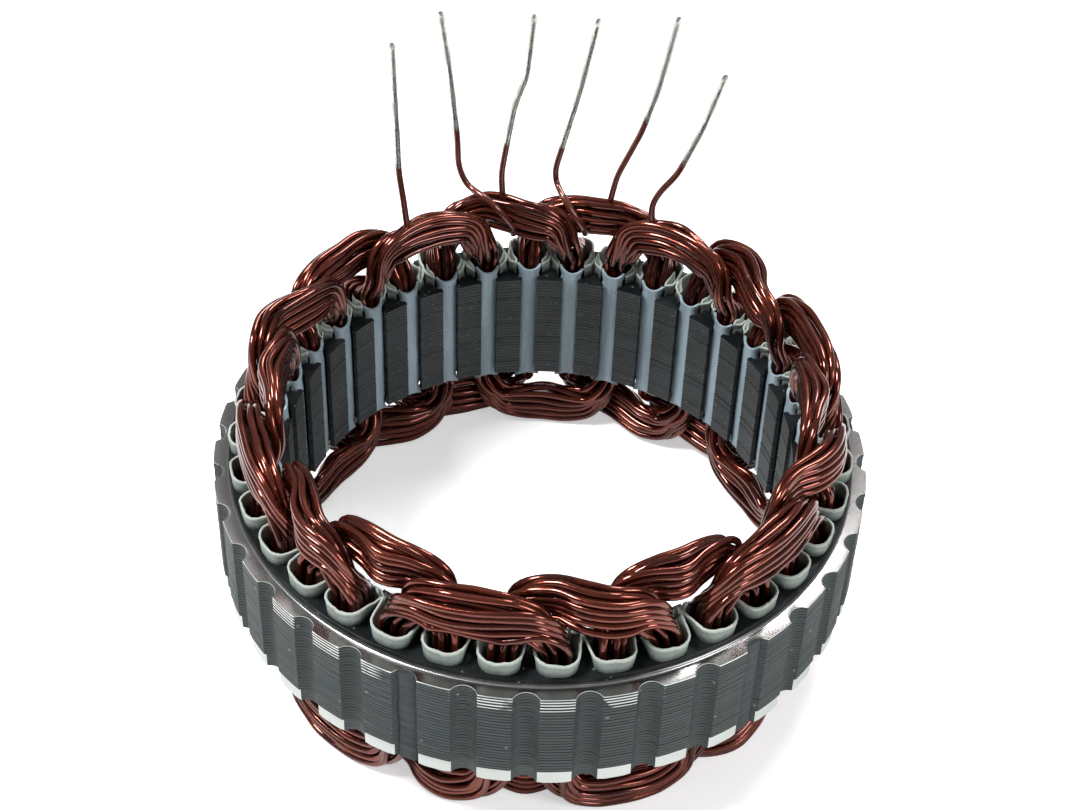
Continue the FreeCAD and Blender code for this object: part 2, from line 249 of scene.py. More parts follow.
class Signal:
    """A node's output, from which sums and products are made as from a number."""

    def __init__(self, shade: "Shade", socket: bpy.types.NodeSocket) -> None:
        """Keeps the tree's helper and the socket."""
        self.shade, self.socket = shade, socket

    def __add__(self, other: "Signal | float") -> "Signal":
        """Their sum."""
        return self.shade.maths("ADD", self, other)

    def __sub__(self, other: "Signal | float") -> "Signal":
        """This less the other."""
        return self.shade.maths("SUBTRACT", self, other)

    def __rsub__(self, other: float) -> "Signal":
        """A number less this."""
        return self.shade.maths("SUBTRACT", other, self)

    def __mul__(self, other: "Signal | float") -> "Signal":
        """Their product."""
        return self.shade.maths("MULTIPLY", self, other)


class Shade:
    """Places and joins the nodes of one tree."""

    def __init__(self, tree: bpy.types.NodeTree) -> None:
        """Keeps the tree."""
        self.tree = tree

    def node(self, kind: str, **settings: object) -> bpy.types.Node:
        """Adds a node and sets its properties."""
        made = self.tree.nodes.new(kind)
        for name, value in settings.items():
            setattr(made, name, value)
        return made

    def read(self, kind: str, output: int | str, **settings: object) -> Signal:
        """Adds a node that needs no input, and gives one of its outputs."""
        return Signal(self, self.node(kind, **settings).outputs[output])

    def put(self, socket: bpy.types.NodeSocket, value: object) -> None:
        """Joins a signal to a socket, or writes a number, colour or vector on it."""
        if isinstance(value, Signal):
            self.tree.links.new(value.socket, socket)
        else:
            socket.default_value = value.rgba if isinstance(value, Colour) else value

    def fill(self, made: bpy.types.Node, output: int | str, **values: object) -> Signal:
        """Puts values on a node's inputs and gives one of its outputs.

        Args:
            made: the node.
            output: the output to give.
            values: input name, with underscores for spaces, to its value.
        Returns:
            The output.
        """
        for name, value in values.items():
            self.put(made.inputs[name.replace("_", " ")], value)
        return Signal(self, made.outputs[output])

    def maths(self, operation: str, first: Signal | float, second: Signal | float = 0.0,
              clamp: bool = False) -> Signal:
        """A Math node's result."""
        made = self.node("ShaderNodeMath", operation=operation, use_clamp=clamp)
        self.put(made.inputs[0], first)
        self.put(made.inputs[1], second)
        return Signal(self, made.outputs[0])

    def steps(self, value: Signal, low: float, high: float) -> Signal:
        """A mask that rises smoothly from 0 at low to 1 at high."""
        made = self.node("ShaderNodeMapRange", interpolation_type="SMOOTHSTEP", clamp=True)
        return self.fill(made, 0, Value=value, From_Min=low, From_Max=high)

    def noise(self, vector: Signal, scale: Signal | float, detail: float = 3.0,
              rough: float = 0.55) -> Signal:
        """A noise texture's factor."""
        return self.fill(self.node("ShaderNodeTexNoise"), 0, Vector=vector, Scale=scale, Detail=detail,
                         Roughness=rough)

    def mix(self, factor: Signal, first: Signal | Colour, second: Signal | Colour) -> Signal:
        """A colour mix."""
        made = self.node("ShaderNodeMix", data_type="RGBA")
        for number, value in ((0, factor), (6, first), (7, second)):
            self.put(made.inputs[number], value)
        return Signal(self, made.outputs[2])

    def split(self, vector: Signal) -> tuple[Signal, Signal]:
        """A point's distance from the bore axis and its height."""
        made = self.node("ShaderNodeSeparateXYZ")
        self.put(made.inputs[0], vector)
        x, y, height = (Signal(self, socket) for socket in made.outputs)
        square = self.maths("POWER", x, 2.0) + self.maths("POWER", y, 2.0)
        return self.maths("SQRT", square), height


class GroupShade(Shade):
    """A shader group while it is built: inputs are signals, and outputs are given values."""

    def __init__(self, name: str, inputs: dict[str, object], outputs: dict[str, str]) -> None:
        """Makes the sockets.

        Args:
            name: the group's name.
            inputs: socket name to its default: None for a vector, a colour, or a number.
            outputs: socket name to its kind.
        """
        super().__init__(bpy.data.node_groups.new(name, "ShaderNodeTree"))
        for label, value in inputs.items():
            kind = "Vector" if value is None else "Color" if isinstance(value, Colour) else "Float"
            socket = self.socket(label, "INPUT", kind)
            if value is not None:
                self.put(socket, value)
        for label, kind in outputs.items():
            self.socket(label, "OUTPUT", kind)
        self.given = {socket.name: Signal(self, socket)
                      for socket in self.node("NodeGroupInput").outputs if socket.name}
        self.result = self.node("NodeGroupOutput").inputs

    def socket(self, name: str, side: str, kind: str) -> bpy.types.NodeTreeInterfaceSocket:
        """Makes a socket on the input or the output side."""
        return self.tree.interface.new_socket(name=name, in_out=side, socket_type=f"NodeSocket{kind}")

    def give(self, **values: Signal) -> bpy.types.NodeTree:
        """Puts the outputs' values and gives the finished group."""
        for name, value in values.items():
            self.put(self.result[name], value)
        return self.tree


def colour_drift_group() -> bpy.types.NodeTree:
    """Slow and fine colour change: the base turns towards a second where two noises add up."""
    inputs = {"Vector": None, "Base": GREY, "Other": GREY * 0.8, "Scale": 80.0, "Amount": 0.5}
    shade = GroupShade("ColourDrift", inputs, {"Color": "Color", "Mask": "Float"})
    given = shade.given
    slow = shade.noise(given["Vector"], given["Scale"], rough=0.5)
    fine = shade.noise(given["Vector"], given["Scale"] * 9.0, rough=0.5)
    both = slow * 0.7 + fine * 0.3
    mask = shade.maths("MULTIPLY", shade.steps(both, 0.38, 0.62), given["Amount"], clamp=True)
    return shade.give(Color=shade.mix(mask, given["Base"], given["Other"]), Mask=mask)


def speck_group() -> bpy.types.NodeTree:
    """Small scattered specks: the middles of the cells whose random value is under a share."""
    shade = GroupShade("Specks", {"Vector": None, "Scale": 600.0, "Share": 0.1}, {"Mask": "Float"})
    cells = shade.node("ShaderNodeTexVoronoi")
    distance = shade.fill(cells, "Distance", Vector=shade.given["Vector"], Scale=shade.given["Scale"])
    colour = Signal(shade, cells.outputs["Color"])
    value = shade.fill(shade.node("ShaderNodeSeparateColor"), 0, Color=colour)
    chosen = shade.maths("LESS_THAN", value, shade.given["Share"])
    return shade.give(Mask=chosen * shade.maths("LESS_THAN", distance, 0.32))


def lamination_group() -> bpy.types.NodeTree:
    """Lines between laminations: 1 in each gap, from the height over the sheet's thickness."""
    shade = GroupShade("LaminationLines",
                       {"Vector": None, "Start": 0.0, "Thickness": 0.0008, "Gap": 0.2},
                       {"Gap": "Float", "Sheet": "Float"})
    given = shade.given
    height = shade.split(given["Vector"])[1]
    level = shade.maths("DIVIDE", height - given["Start"], given["Thickness"])
    edge = shade.maths("ABSOLUTE", shade.maths("FRACT", level) - 0.5)
    half_gap = given["Gap"] * 0.5
    gap = shade.maths("DIVIDE", edge - (0.5 - half_gap), half_gap, clamp=True)
    return shade.give(Gap=gap, Sheet=shade.maths("FLOOR", level))


def rings_group() -> bpy.types.NodeTree:
    """Turning marks: fine noise along the radius and along the height, as a lathe leaves them."""
    shade = GroupShade("TurningMarks", {"Vector": None, "Scale": 9000.0}, {"Height": "Float"})
    radius, height = shade.split(shade.given["Vector"])
    marks = shade.node("ShaderNodeTexNoise", noise_dimensions="1D")
    fine = shade.fill(marks, 0, W=radius + height, Scale=shade.given["Scale"], Detail=2.0)
    return shade.give(Height=fine)


class Groups:
    """The shader groups, each built once."""

    def __init__(self) -> None:
        """Builds them all."""
        self.drift = colour_drift_group()
        self.specks = speck_group()
        self.laminations = lamination_group()
        self.rings = rings_group()


class Coat(Shade):
    """A material while it is built: its shader, its Object coordinates and the groups."""

    def __init__(self, name: str, groups: Groups | None = None) -> None:
        """Starts the material."""
        self.material = bpy.data.materials.new(name)
        self.material.use_nodes = True
        super().__init__(self.material.node_tree)
        self.groups = groups
        self.shader = next(item for item in self.tree.nodes if item.type == "BSDF_PRINCIPLED")
        self.place = self.read("ShaderNodeTexCoord", "Object")

    def group(self, tree: bpy.types.NodeTree, vector: Signal | None = None,
              **values: object) -> dict[str, Signal]:
        """Places a shader group with its values and gives its outputs by name."""
        made = self.node("ShaderNodeGroup")
        made.node_tree = tree
        self.fill(made, 0, Vector=vector or self.place, **values)
        return {socket.name: Signal(self, socket) for socket in made.outputs}

    def drift(self, base: Colour, other: Colour, scale: float, amount: float,
              vector: Signal | None = None) -> tuple[Signal, Signal]:
        """A drifting colour and its mask."""
        made = self.group(self.groups.drift, vector, Base=base, Other=other, Scale=scale, Amount=amount)
        return made["Color"], made["Mask"]

    def flecked(self, under: Signal, fleck: Colour, scale: float, share: float,
                strength: float) -> Signal:
        """A colour with scattered specks of another over a share of it."""
        mask = self.group(self.groups.specks, Scale=scale, Share=share)["Mask"]
        return self.mix(mask * strength, under, fleck)

    def attribute(self, name: str) -> Signal:
        """A value kept on the mesh."""
        return self.read("ShaderNodeAttribute", "Fac", attribute_name=name)

    def grain(self, scale: float, detail: float = 3.0, rough: float = 0.55) -> Signal:
        """Noise over the piece."""
        return self.noise(self.place, scale, detail, rough)

    def finish(self, height: Signal, strength: float, distance: float,
               **values: object) -> bpy.types.Material:
        """Puts the shader's values and a bump, and gives the finished material.

        Args:
            height: the bump's height.
            strength, distance: the bump's own values.
            values: shader input, with underscores for spaces, to its value.
        Returns:
            The material.
        """
        bump = self.fill(self.node("ShaderNodeBump"), 0, Strength=strength, Distance=distance,
                         Height=height)
        self.fill(self.shader, 0, Normal=bump, **values)
        return self.material


@dataclass(frozen=True)
class Finish:
    """What every finish has: a name."""

    name: str


@dataclass(frozen=True)
class SheetFinish(Finish):
    """A finish with lines between sheets, from a start height and a thickness in metres."""

    start_height: float
    thickness: float

    def lines(self, coat: Coat, gap: float) -> tuple[Signal, Signal]:
        """The mask of the gaps, each a share of a sheet wide, and each point's sheet number."""
        made = coat.group(coat.groups.laminations, Start=self.start_height, Thickness=self.thickness,
                          Gap=gap)
        return made["Gap"], made["Sheet"]

    def vary(self, coat: Coat, sheet: Signal, colour: Signal, other: Colour) -> Signal:
        """Turns each sheet a little towards another colour."""
        tone = coat.fill(coat.node("ShaderNodeTexWhiteNoise", noise_dimensions="1D"), 0, W=sheet)
        return coat.mix(tone * 0.35, colour, other)


@dataclass(frozen=True)
class PaintedLaminations(SheetFinish):
    """Dip-painted lamination edges; a few sheet edges near the ledge are near-white at the front, bare
    steel with a painted highlight.

    The painted highlight lies between two heights, on the lands only, where the place along a land's
    direction passes a reach.
    """

    highlight_from: float
    highlight_to: float
    paint: Colour = Colour(0.028, 0.039, 0.040)
    worn: Colour = Colour(0.049, 0.062, 0.062)
    # near-white bare steel: the colour of the bare flecks and of the painted highlight on the front
    # edges
    bare_and_highlight: Colour = Colour(0.80, 0.82, 0.80)
    line: float = 0.45
    highlight_gap: float = 0.78
    highlight_lands: tuple[tuple[float, float], ...] = ((-85.0, 0.0615), (-127.0, 0.0628))
    land_radius: tuple[float, float] = (0.06370, 0.06388)

    def build(self, groups: Groups) -> bpy.types.Material:
        """Paint, its drift, the dark gaps and the near-white front edges, a painted highlight."""
        coat = Coat(self.name, groups)
        drift, drifted = coat.drift(self.paint, self.worn, scale=90.0, amount=0.75)
        gap, sheet = self.lines(coat, self.line)
        varied = self.vary(coat, sheet, drift, self.worn * 1.1)
        inked = coat.mix(gap * 0.8, varied, self.paint * 0.22)
        radius, height = coat.split(coat.place)
        # painted highlight: the sheet edges just under the ledge turn near-white, only on the front
        # lands
        bare_and_highlight = (coat.steps(height, self.highlight_from, self.highlight_from + 0.0001)
                * coat.steps(height, self.highlight_to + 0.0001, self.highlight_to))
        lobes = 0.0
        for degrees, reach in self.highlight_lands:
            aim = coat.node("ShaderNodeVectorMath", operation="DOT_PRODUCT")
            coat.put(aim.inputs[0], coat.place)
            angle = math.radians(degrees)
            coat.put(aim.inputs[1], (math.cos(angle), math.sin(angle), 0.0))
            along = Signal(coat, aim.outputs["Value"])
            lobes = coat.maths("MAXIMUM", lobes, coat.steps(along, reach - 0.0006, reach))
        open_sheet = coat.steps(self.lines(coat, self.highlight_gap)[0], 0.3, 0.05)
        patchy = coat.steps(coat.grain(260.0, detail=2.0), 0.30, 0.42)
        for part in (lobes, coat.steps(radius, *self.land_radius), open_sheet, patchy):
            bare_and_highlight = bare_and_highlight * part
        flecked = coat.flecked(inked, self.bare_and_highlight * 0.5, scale=900.0, share=0.015, strength=0.35)
        return coat.finish(coat.grain(1500.0) * 0.25 - gap, strength=0.5, distance=0.0001,
                           Base_Color=coat.mix(bare_and_highlight, flecked, self.bare_and_highlight),
                           Roughness=drifted * 0.2 + 0.42, Specular_IOR_Level=0.35)


@dataclass(frozen=True)
class TurnedSteel(SheetFinish):
    """Bare steel turned on a lathe, with faint lamination lines and a little tarnish."""

    steel: Colour = Colour(0.36, 0.345, 0.34)
    tarnish: Colour = Colour(0.23, 0.21, 0.205)
    roughness: float = 0.18
    metal: float = 1.0

    def build(self, groups: Groups) -> bpy.types.Material:
        """Metal with turning marks, tarnish and thin lines between sheets."""
        coat = Coat(self.name, groups)
        drift, _ = coat.drift(self.steel, self.tarnish, scale=70.0, amount=0.3)
        gap, _ = self.lines(coat, 0.12)
        marks = coat.group(groups.rings, Scale=9000.0)["Height"]
        return coat.finish(marks, strength=0.08, distance=0.00003,
                           Base_Color=coat.mix(gap * 0.3, drift, self.tarnish * 0.5),
                           Metallic=self.metal, Roughness=marks * 0.08 + self.roughness)


@dataclass(frozen=True)
class Varnish(Finish):
    """Near-black stove varnish that pools in the corners, with dust specks."""

    black: Colour = Colour(0.006, 0.007, 0.008)
    grey: Colour = Colour(0.016, 0.019, 0.020)
    roughness: float = 0.3
    speck_share: float = 0.03
    dust: Colour = Colour(0.35, 0.36, 0.35)

    def build(self, groups: Groups) -> bpy.types.Material:
        """Dark varnish with drift, specks and an uneven skin."""
        coat = Coat(self.name, groups)
        drift, drifted = coat.drift(self.black, self.grey, scale=160.0, amount=0.8)
        dusty = coat.flecked(drift, self.dust, scale=1300.0, share=self.speck_share, strength=0.3)
        return coat.finish(coat.grain(420.0, detail=2.0), strength=0.35, distance=0.0002,
                           Base_Color=dusty, Roughness=drifted * 0.2 + self.roughness,
                           Specular_IOR_Level=0.15)


@dataclass(frozen=True)
class BoreLaminations(SheetFinish):
    """Tooth faces of the bore: dark varnished sheet edges with bright burrs."""

    dark: Colour = Colour(0.018, 0.022, 0.023)
    grey: Colour = Colour(0.038, 0.045, 0.047)
    burr: Colour = Colour(0.4, 0.42, 0.42)

    def build(self, groups: Groups) -> bpy.types.Material:
        """Sheets that differ in tone, dark gaps between them and bright flecks."""
        coat = Coat(self.name, groups)
        gap, sheet = self.lines(coat, 0.5)
        drift, _ = coat.drift(self.dark, self.grey, scale=120.0, amount=0.8)
        inked = coat.mix(gap, self.vary(coat, sheet, drift, self.grey * 1.5), self.dark * 0.05)
        flecked = coat.flecked(inked, self.burr, scale=2600.0, share=0.03, strength=0.5)
        return coat.finish(1.0 - gap, strength=0.6, distance=0.00012, Base_Color=flecked,
                           Roughness=0.45, Specular_IOR_Level=0.3)


@dataclass(frozen=True)
class LinerPaper(Finish):
    """Slot paper: off-white with a fuzzy pale rim that is partly a painted highlight, stained by
    varnish where it meets the steel.
    """

    paper: Colour = Colour(0.262, 0.305, 0.272)
    shade_of: Colour = Colour(0.186, 0.220, 0.203)
    stain: Colour = Colour(0.045, 0.058, 0.060)
    # pale rim colour: the paper's cut edge plus a painted highlight along it
    rim: Colour = Colour(0.44, 0.49, 0.44)

    def build(self, groups: Groups) -> bpy.types.Material:
        """Paper, its pale rim with a painted highlight and its stained foot, from the height above the
        core kept on the mesh.
        """
        coat = Coat(self.name, groups)
        drift, _ = coat.drift(self.paper, self.shade_of, scale=220.0, amount=0.7)
        foot = coat.steps(coat.attribute("above") + (coat.grain(500.0) - 0.5) * 1.6, 1.9, 0.1)
        stained = coat.mix(foot * 0.8, drift, self.stain)
        fuzzy = (coat.grain(1800.0, detail=2.0) - 0.5) * 0.7
        # painted highlight: the last strip of paper at each free edge turns pale
        edge = coat.steps(coat.attribute("rim") + fuzzy, 0.75, 0.2)
        return coat.finish(coat.grain(2600.0, detail=4.0, rough=0.7), strength=0.45, distance=0.00012,
                           Base_Color=coat.mix(edge, stained, self.rim), Roughness=0.78)


@dataclass(frozen=True)
class WedgeStrip(Finish):
    """Pressed fibre strip: pale blue-grey, cut at its ends, with fine streaks along it."""

    strip: Colour = Colour(0.32, 0.415, 0.475)
    dull: Colour = Colour(0.20, 0.27, 0.31)
    stretch: tuple[float, float, float] = (1.0, 1.0, 0.12)

    def build(self, groups: Groups) -> bpy.types.Material:
        """Strip colour with streaks along its length."""
        coat = Coat(self.name, groups)
        streaks = coat.fill(coat.node("ShaderNodeMapping"), 0, Vector=coat.place, Scale=self.stretch)
        drift, _ = coat.drift(self.strip, self.dull, scale=420.0, amount=0.8, vector=streaks)
        specked = coat.flecked(drift, self.dull * 0.3, scale=1500.0, share=0.03, strength=0.5)
        return coat.finish(coat.noise(streaks, 2500.0), strength=0.25, distance=0.00008,
                           Base_Color=specked, Roughness=0.5)


@dataclass(frozen=True)
class Enamel(Finish):
    """Wire enamel over copper: deep red-brown with a clear gloss, each wire a little different."""

    deep: Colour = Colour(0.055, 0.009, 0.006)
    warm: Colour = Colour(0.190, 0.036, 0.017)
    dusty: Colour = Colour(0.20, 0.12, 0.10)

    def build(self, groups: Groups) -> bpy.types.Material:
        """Copper-coloured metal under a clear coat, varied by wire and along it."""
        coat = Coat(self.name, groups)
        drift, drifted = coat.drift(self.deep, self.warm, scale=120.0, amount=0.7)
        varied = coat.mix(coat.attribute("tint") * 0.6, drift, self.warm * 1.1)
        specked = coat.flecked(varied, self.dusty, scale=700.0, share=0.012, strength=0.5)
        return coat.finish(coat.grain(600.0, detail=2.0), strength=0.12, distance=0.0001,
                           Base_Color=specked, Metallic=0.85, Roughness=drifted * 0.1 + 0.13,
                           Coat_Weight=0.6, Coat_Roughness=0.06)


@dataclass(frozen=True)
class TinnedLead(Finish):
    """A lead: enamel up to a ragged border, then dipped tin."""

    tin: Colour = Colour(0.66, 0.65, 0.61)
    dull_tin: Colour = Colour(0.40, 0.40, 0.38)
    enamel: Colour = Colour(0.13, 0.028, 0.015)
    flux: Colour = Colour(0.12, 0.09, 0.07)

    def build(self, groups: Groups) -> bpy.types.Material:
        """Enamel below and tin above the border, from each point's height past it."""
        coat = Coat(self.name, groups)
        ragged = (coat.grain(900.0, detail=4.0, rough=0.7) - 0.5) * 2.6
        level = coat.attribute("past_border") + ragged
        tinned = coat.steps(level, -0.15, 0.15)
        drift, drifted = coat.drift(self.tin, self.dull_tin, scale=260.0, amount=0.7)
        burnt = coat.steps(coat.maths("ABSOLUTE", level), 1.2, 0.2)
        dirty = coat.mix(burnt * 0.55, drift, self.flux)
        return coat.finish(tinned * 0.5 + coat.grain(420.0), strength=0.4, distance=0.00018,
                           Base_Color=coat.mix(tinned, self.enamel, dirty),
                           Metallic=tinned * 0.4 + 0.6, Roughness=drifted * 0.2 + 0.22,
                           Coat_Weight=0.8 - tinned * 0.8)


# ---------------------------------------------------------------- the core

class Face(IntEnum):
    """The core's finishes, in the order of its material slots."""

    PAINT = 0
    STEEL = 1
    BAND = 2
    BORE = 3
    VARNISH = 4
    STEP = 5


@dataclass
class LaminationCore:
    """The welded stack: outer wall with notches and steps, bore wall with slots, and both faces."""

    groups: Groups
    sheets: int = 33
    outer: float = 64.0
    bore: float = 49.4
    ledge: float = 60.9
    ledge_drop: float = 2.1
    band: float = 63.7
    band_height: float = 3.5
    seat_drop: float = 0.3
    slot_back: float = 60.2
    slot_corner: float = 1.8
    tooth: float = 3.5
    mouth: float = 3.25
    tip_edge: float = 0.9
    tip_root: float = 1.25
    notch_radius: float = 2.7
    notch_depth: float = 1.8
    land_columns: int = 5
    notch_columns: int = 9
    groove: float = 0.09
    bevel: float = 0.1
    uneven: float = 0.05
    hidden_notch: float = 1.9
    # how far under the ledge the painted highlight on the front lamination edges reaches
    highlight_run: float = 3.15
    seed: int = 5
    bottom: float = field(init=False)
    top: float = field(init=False)

    def __post_init__(self) -> None:
        """Reads the core's lower and upper faces from the frame."""
        low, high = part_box("lamination_stack")
        self.bottom, self.top = low.z / MM, high.z / MM

    @property
    def thickness(self) -> float:
        """One lamination's thickness."""
        return (self.top - self.bottom) / self.sheets

    def slot_side(self, radius: float) -> float:
        """Half the slot's width at a radius: the pitch line less half a tooth."""
        return radius * math.tan(HALF_PITCH) - self.tooth / 2 / math.cos(HALF_PITCH)

    def outer_rows(self) -> tuple[np.ndarray, np.ndarray, np.ndarray]:
        """Height, radius and finish of each row of the outer wall, bottom to top."""
        rng = np.random.default_rng(self.seed)
        ledge = self.top - self.ledge_drop
        seat = self.bottom + self.seat_drop
        band_top = self.bottom + self.band_height
        rows = [(self.bottom, self.ledge, Face.VARNISH), (seat, self.ledge, Face.STEEL),
                (seat, self.band - self.bevel, Face.BAND), (seat + self.bevel, self.band, Face.BAND),
                (band_top, self.band, Face.PAINT)]
        for sheet in range(self.sheets):
            low = self.bottom + sheet * self.thickness
            size = self.outer - 0.02 - self.uneven * rng.random()
            for share, inset in ((0.0, self.groove), (0.16, 0.0), (0.84, 0.0)):
                height = low + share * self.thickness
                if band_top + 0.02 < height < ledge - 0.12:
                    rows.append((height, size - inset, Face.PAINT))
        rows += [(ledge - 0.1, self.outer - 0.02, Face.BAND), (ledge, self.outer - 0.13, Face.STEEL)]
        fillet = ((0, 0.4), (0.05, 0.2), (0.17, 0.07), (0.35, 0.01))
        rows += [(ledge + rise, self.ledge + reach, Face.STEP) for rise, reach in fillet]
        rows.append((ledge + 0.8, self.ledge, Face.VARNISH))
        for share, inset in ((0.55, 0.0), (0.6, self.uneven), (0.75, 0.0), (0.8, self.uneven)):
            rows.append((ledge + share * self.ledge_drop, self.ledge - inset, Face.VARNISH))
        rows += [(self.top - 0.15, self.ledge, Face.VARNISH),
                 (self.top, self.ledge - 0.15, Face.VARNISH)]
        return tuple(np.array(rows).T)

    def outer_wall(self) -> tuple[np.ndarray, np.ndarray, np.ndarray]:
        """The outer wall: each row follows the nearer of its circle and the notches' circles.

        A row whose circle lies inside the notches keeps the same columns, at a fixed half angle.

        Returns:
            (rows, columns, 3) points, the quads, and each quad's finish.
        """
        heights, radii, finish = self.outer_rows()
        centre = self.outer - self.notch_depth + self.notch_radius
        cosine = (radii ** 2 + centre ** 2 - self.notch_radius ** 2) / (2 * radii * centre)
        half = np.degrees(np.arccos(np.clip(cosine, -1, 1)))
        half = np.where(radii < self.outer - self.notch_depth, self.hidden_notch, half)
        in_notch = np.linspace(-1, 1, self.notch_columns, endpoint=False)
        on_land = np.arange(self.land_columns) / self.land_columns
        columns = np.concatenate([
            half[:, None] * in_notch[None],
            half[:, None] + (PITCH - 2 * half[:, None]) * on_land[None]], axis=1)
        offset = np.radians(np.minimum(np.abs(columns), np.abs(columns - PITCH)))
        side = centre * np.sin(offset)
        depth = centre * np.cos(offset) - np.sqrt(np.maximum(self.notch_radius ** 2 - side ** 2, 0))
        depth = np.where(side < self.notch_radius, depth, np.inf)
        inset = np.where(radii > self.outer - 1, self.outer - radii, 0)
        radius = np.minimum(radii[:, None], depth - 0.6 * inset[:, None])
        starts = np.arange(SLOTS) * PITCH
        angles = (columns[:, None, :] + starts[None, :, None]).reshape(len(radii), -1)
        points = polar(np.tile(radius, (1, SLOTS)), angles, heights[:, None])
        quads = grid_faces(points.shape[0], points.shape[1], close_columns=True)
        indices = np.repeat(finish[:-1, None], points.shape[1], axis=1)
        notched = np.tile(np.arange(columns.shape[1]) < self.notch_columns, SLOTS)
        on_band = heights[:-1] < self.bottom + self.band_height - 0.01
        indices[on_band[:, None] & notched[None]] = Face.PAINT
        return points, quads, indices.ravel()

    def slot_loop(self, inset: np.ndarray) -> np.ndarray:
        """The bore wall's outline in each row: tooth faces on the bore circle, then the slots.

        Args:
            inset: how far each row's outline lies back into the steel.
        Returns:
            (rows, columns, 2) points.
        """
        bore = self.bore + inset[:, None]
        arc = np.radians(np.array([-5.0, -4.0, -3.0]))[None]
        face_x, face_y = bore * np.cos(arc), bore * np.sin(arc)
        half_mouth = self.mouth / 2 + inset[:, None]
        edge = np.sqrt(bore ** 2 - half_mouth ** 2)
        root, back = self.bore + self.tip_root, self.slot_back
        one = np.ones_like(bore)
        half_x = np.concatenate([edge, one * (self.bore + self.tip_edge), one * root,
                                 one * (back - self.slot_corner), one * back], axis=1)
        half_y = np.concatenate([half_mouth, half_mouth, one * self.slot_side(root),
                                 one * self.slot_side(back - self.slot_corner),
                                 one * (self.slot_side(back) - self.slot_corner)], axis=1)
        x = np.concatenate([face_x, half_x, half_x[:, ::-1], face_x[:, :0:-1]], axis=1)
        y = np.concatenate([face_y, -half_y, half_y[:, ::-1], -face_y[:, :0:-1]], axis=1)
        turn = np.radians(PITCH * (np.arange(SLOTS) + 0.5))[None, :, None]
        ring_x = x[:, None] * np.cos(turn) - y[:, None] * np.sin(turn)
        ring_y = x[:, None] * np.sin(turn) + y[:, None] * np.cos(turn)
        return np.stack([ring_x.reshape(len(inset), -1), ring_y.reshape(len(inset), -1)], axis=-1)

    def bore_wall(self) -> tuple[np.ndarray, np.ndarray]:
        """The bore wall as a grid whose rows step in at each gap between laminations."""
        rng = np.random.default_rng(self.seed + 1)
        share = np.tile([0.0, 0.25], self.sheets)[1:]
        level = np.repeat(np.arange(self.sheets), 2)[1:] + share
        heights = np.concatenate([[0.0], level, [self.sheets]]) * self.thickness + self.bottom
        sheet_inset = self.uneven * rng.random(self.sheets)
        inset = np.where(share == 0.0, self.groove, 0.0) + np.repeat(sheet_inset, 2)[1:]
        inset = np.concatenate([[0.02], inset, [0.02]])
        outline = self.slot_loop(inset)
        height = np.broadcast_to(heights[:, None, None], outline.shape[:2] + (1,))
        points = np.concatenate([outline, height], axis=-1)
        quads = grid_faces(points.shape[0], points.shape[1], close_columns=True)[:, ::-1]
        return points, quads

    def end_face(self, points: np.ndarray, loops: list[np.ndarray], upwards: bool) -> np.ndarray:
        """Triangles that fill an end face between its outer and its inner loop.

        Args:
            points: the core's points.
            loops: the point numbers of both loops.
            upwards: whether the face looks up.
        Returns:
            (n, 3) point numbers, turned outwards.
        """
        corners = [[Vector(place) for place in points[loop].tolist()] for loop in loops]
        triangles = np.concatenate(loops)[np.array(tessellate_polygon(corners))]
        first, second, third = points[triangles].transpose(1, 0, 2)
        wrong = (np.cross(second - first, third - first)[:, 2] > 0) != upwards
        triangles[wrong] = triangles[wrong][:, ::-1]
        return triangles

    def finishes(self) -> list[bpy.types.Material]:
        """The core's materials, in the order of Face."""
        sheets = (self.bottom * MM, self.thickness * MM)
        ledge = self.top - self.ledge_drop
        made = {
            Face.PAINT: PaintedLaminations("painted_laminations", *sheets,
                                           highlight_from=(ledge - self.highlight_run) * MM,
                                           highlight_to=(ledge - self.bevel) * MM),
            Face.STEEL: TurnedSteel("turned_steel", *sheets),
            Face.BAND: TurnedSteel("turned_band", *sheets, Colour(0.60, 0.64, 0.61),
                                   Colour(0.52, 0.55, 0.52), roughness=0.35, metal=0.4),
            Face.BORE: BoreLaminations("bore_laminations", *sheets),
            Face.VARNISH: Varnish("core_varnish"),
            Face.STEP: TurnedSteel("polished_step", *sheets, Colour(0.42, 0.43, 0.43),
                                   Colour(0.28, 0.28, 0.28), roughness=0.2)}
        return [made[face].build(self.groups) for face in Face]

    def build(self) -> None:
        """Joins the walls and fills both end faces between their loops."""
        outer, outer_quads, finish = self.outer_wall()
        inner, inner_quads = self.bore_wall()
        points = np.concatenate([outer.reshape(-1, 3), inner.reshape(-1, 3)])
        outer_numbers = np.arange(outer.shape[0] * outer.shape[1]).reshape(outer.shape[:2])
        inner_numbers = outer_numbers.size + np.arange(inner.shape[0] * inner.shape[1])
        inner_numbers = inner_numbers.reshape(inner.shape[:2])
        faces = outer_quads.tolist() + (inner_quads + outer_numbers.size).tolist()
        indices = [finish, np.full(len(inner_quads), Face.BORE)]
        for row, upwards in ((0, False), (-1, True)):
            triangles = self.end_face(points, [outer_numbers[row], inner_numbers[row]], upwards)
            faces += triangles.tolist()
            indices.append(np.full(len(triangles), Face.VARNISH))
        core = make_piece("lamination_core", points, faces, self.finishes(), sharp=35.0,
                          indices=np.concatenate(indices))
        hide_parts("lamination_stack")


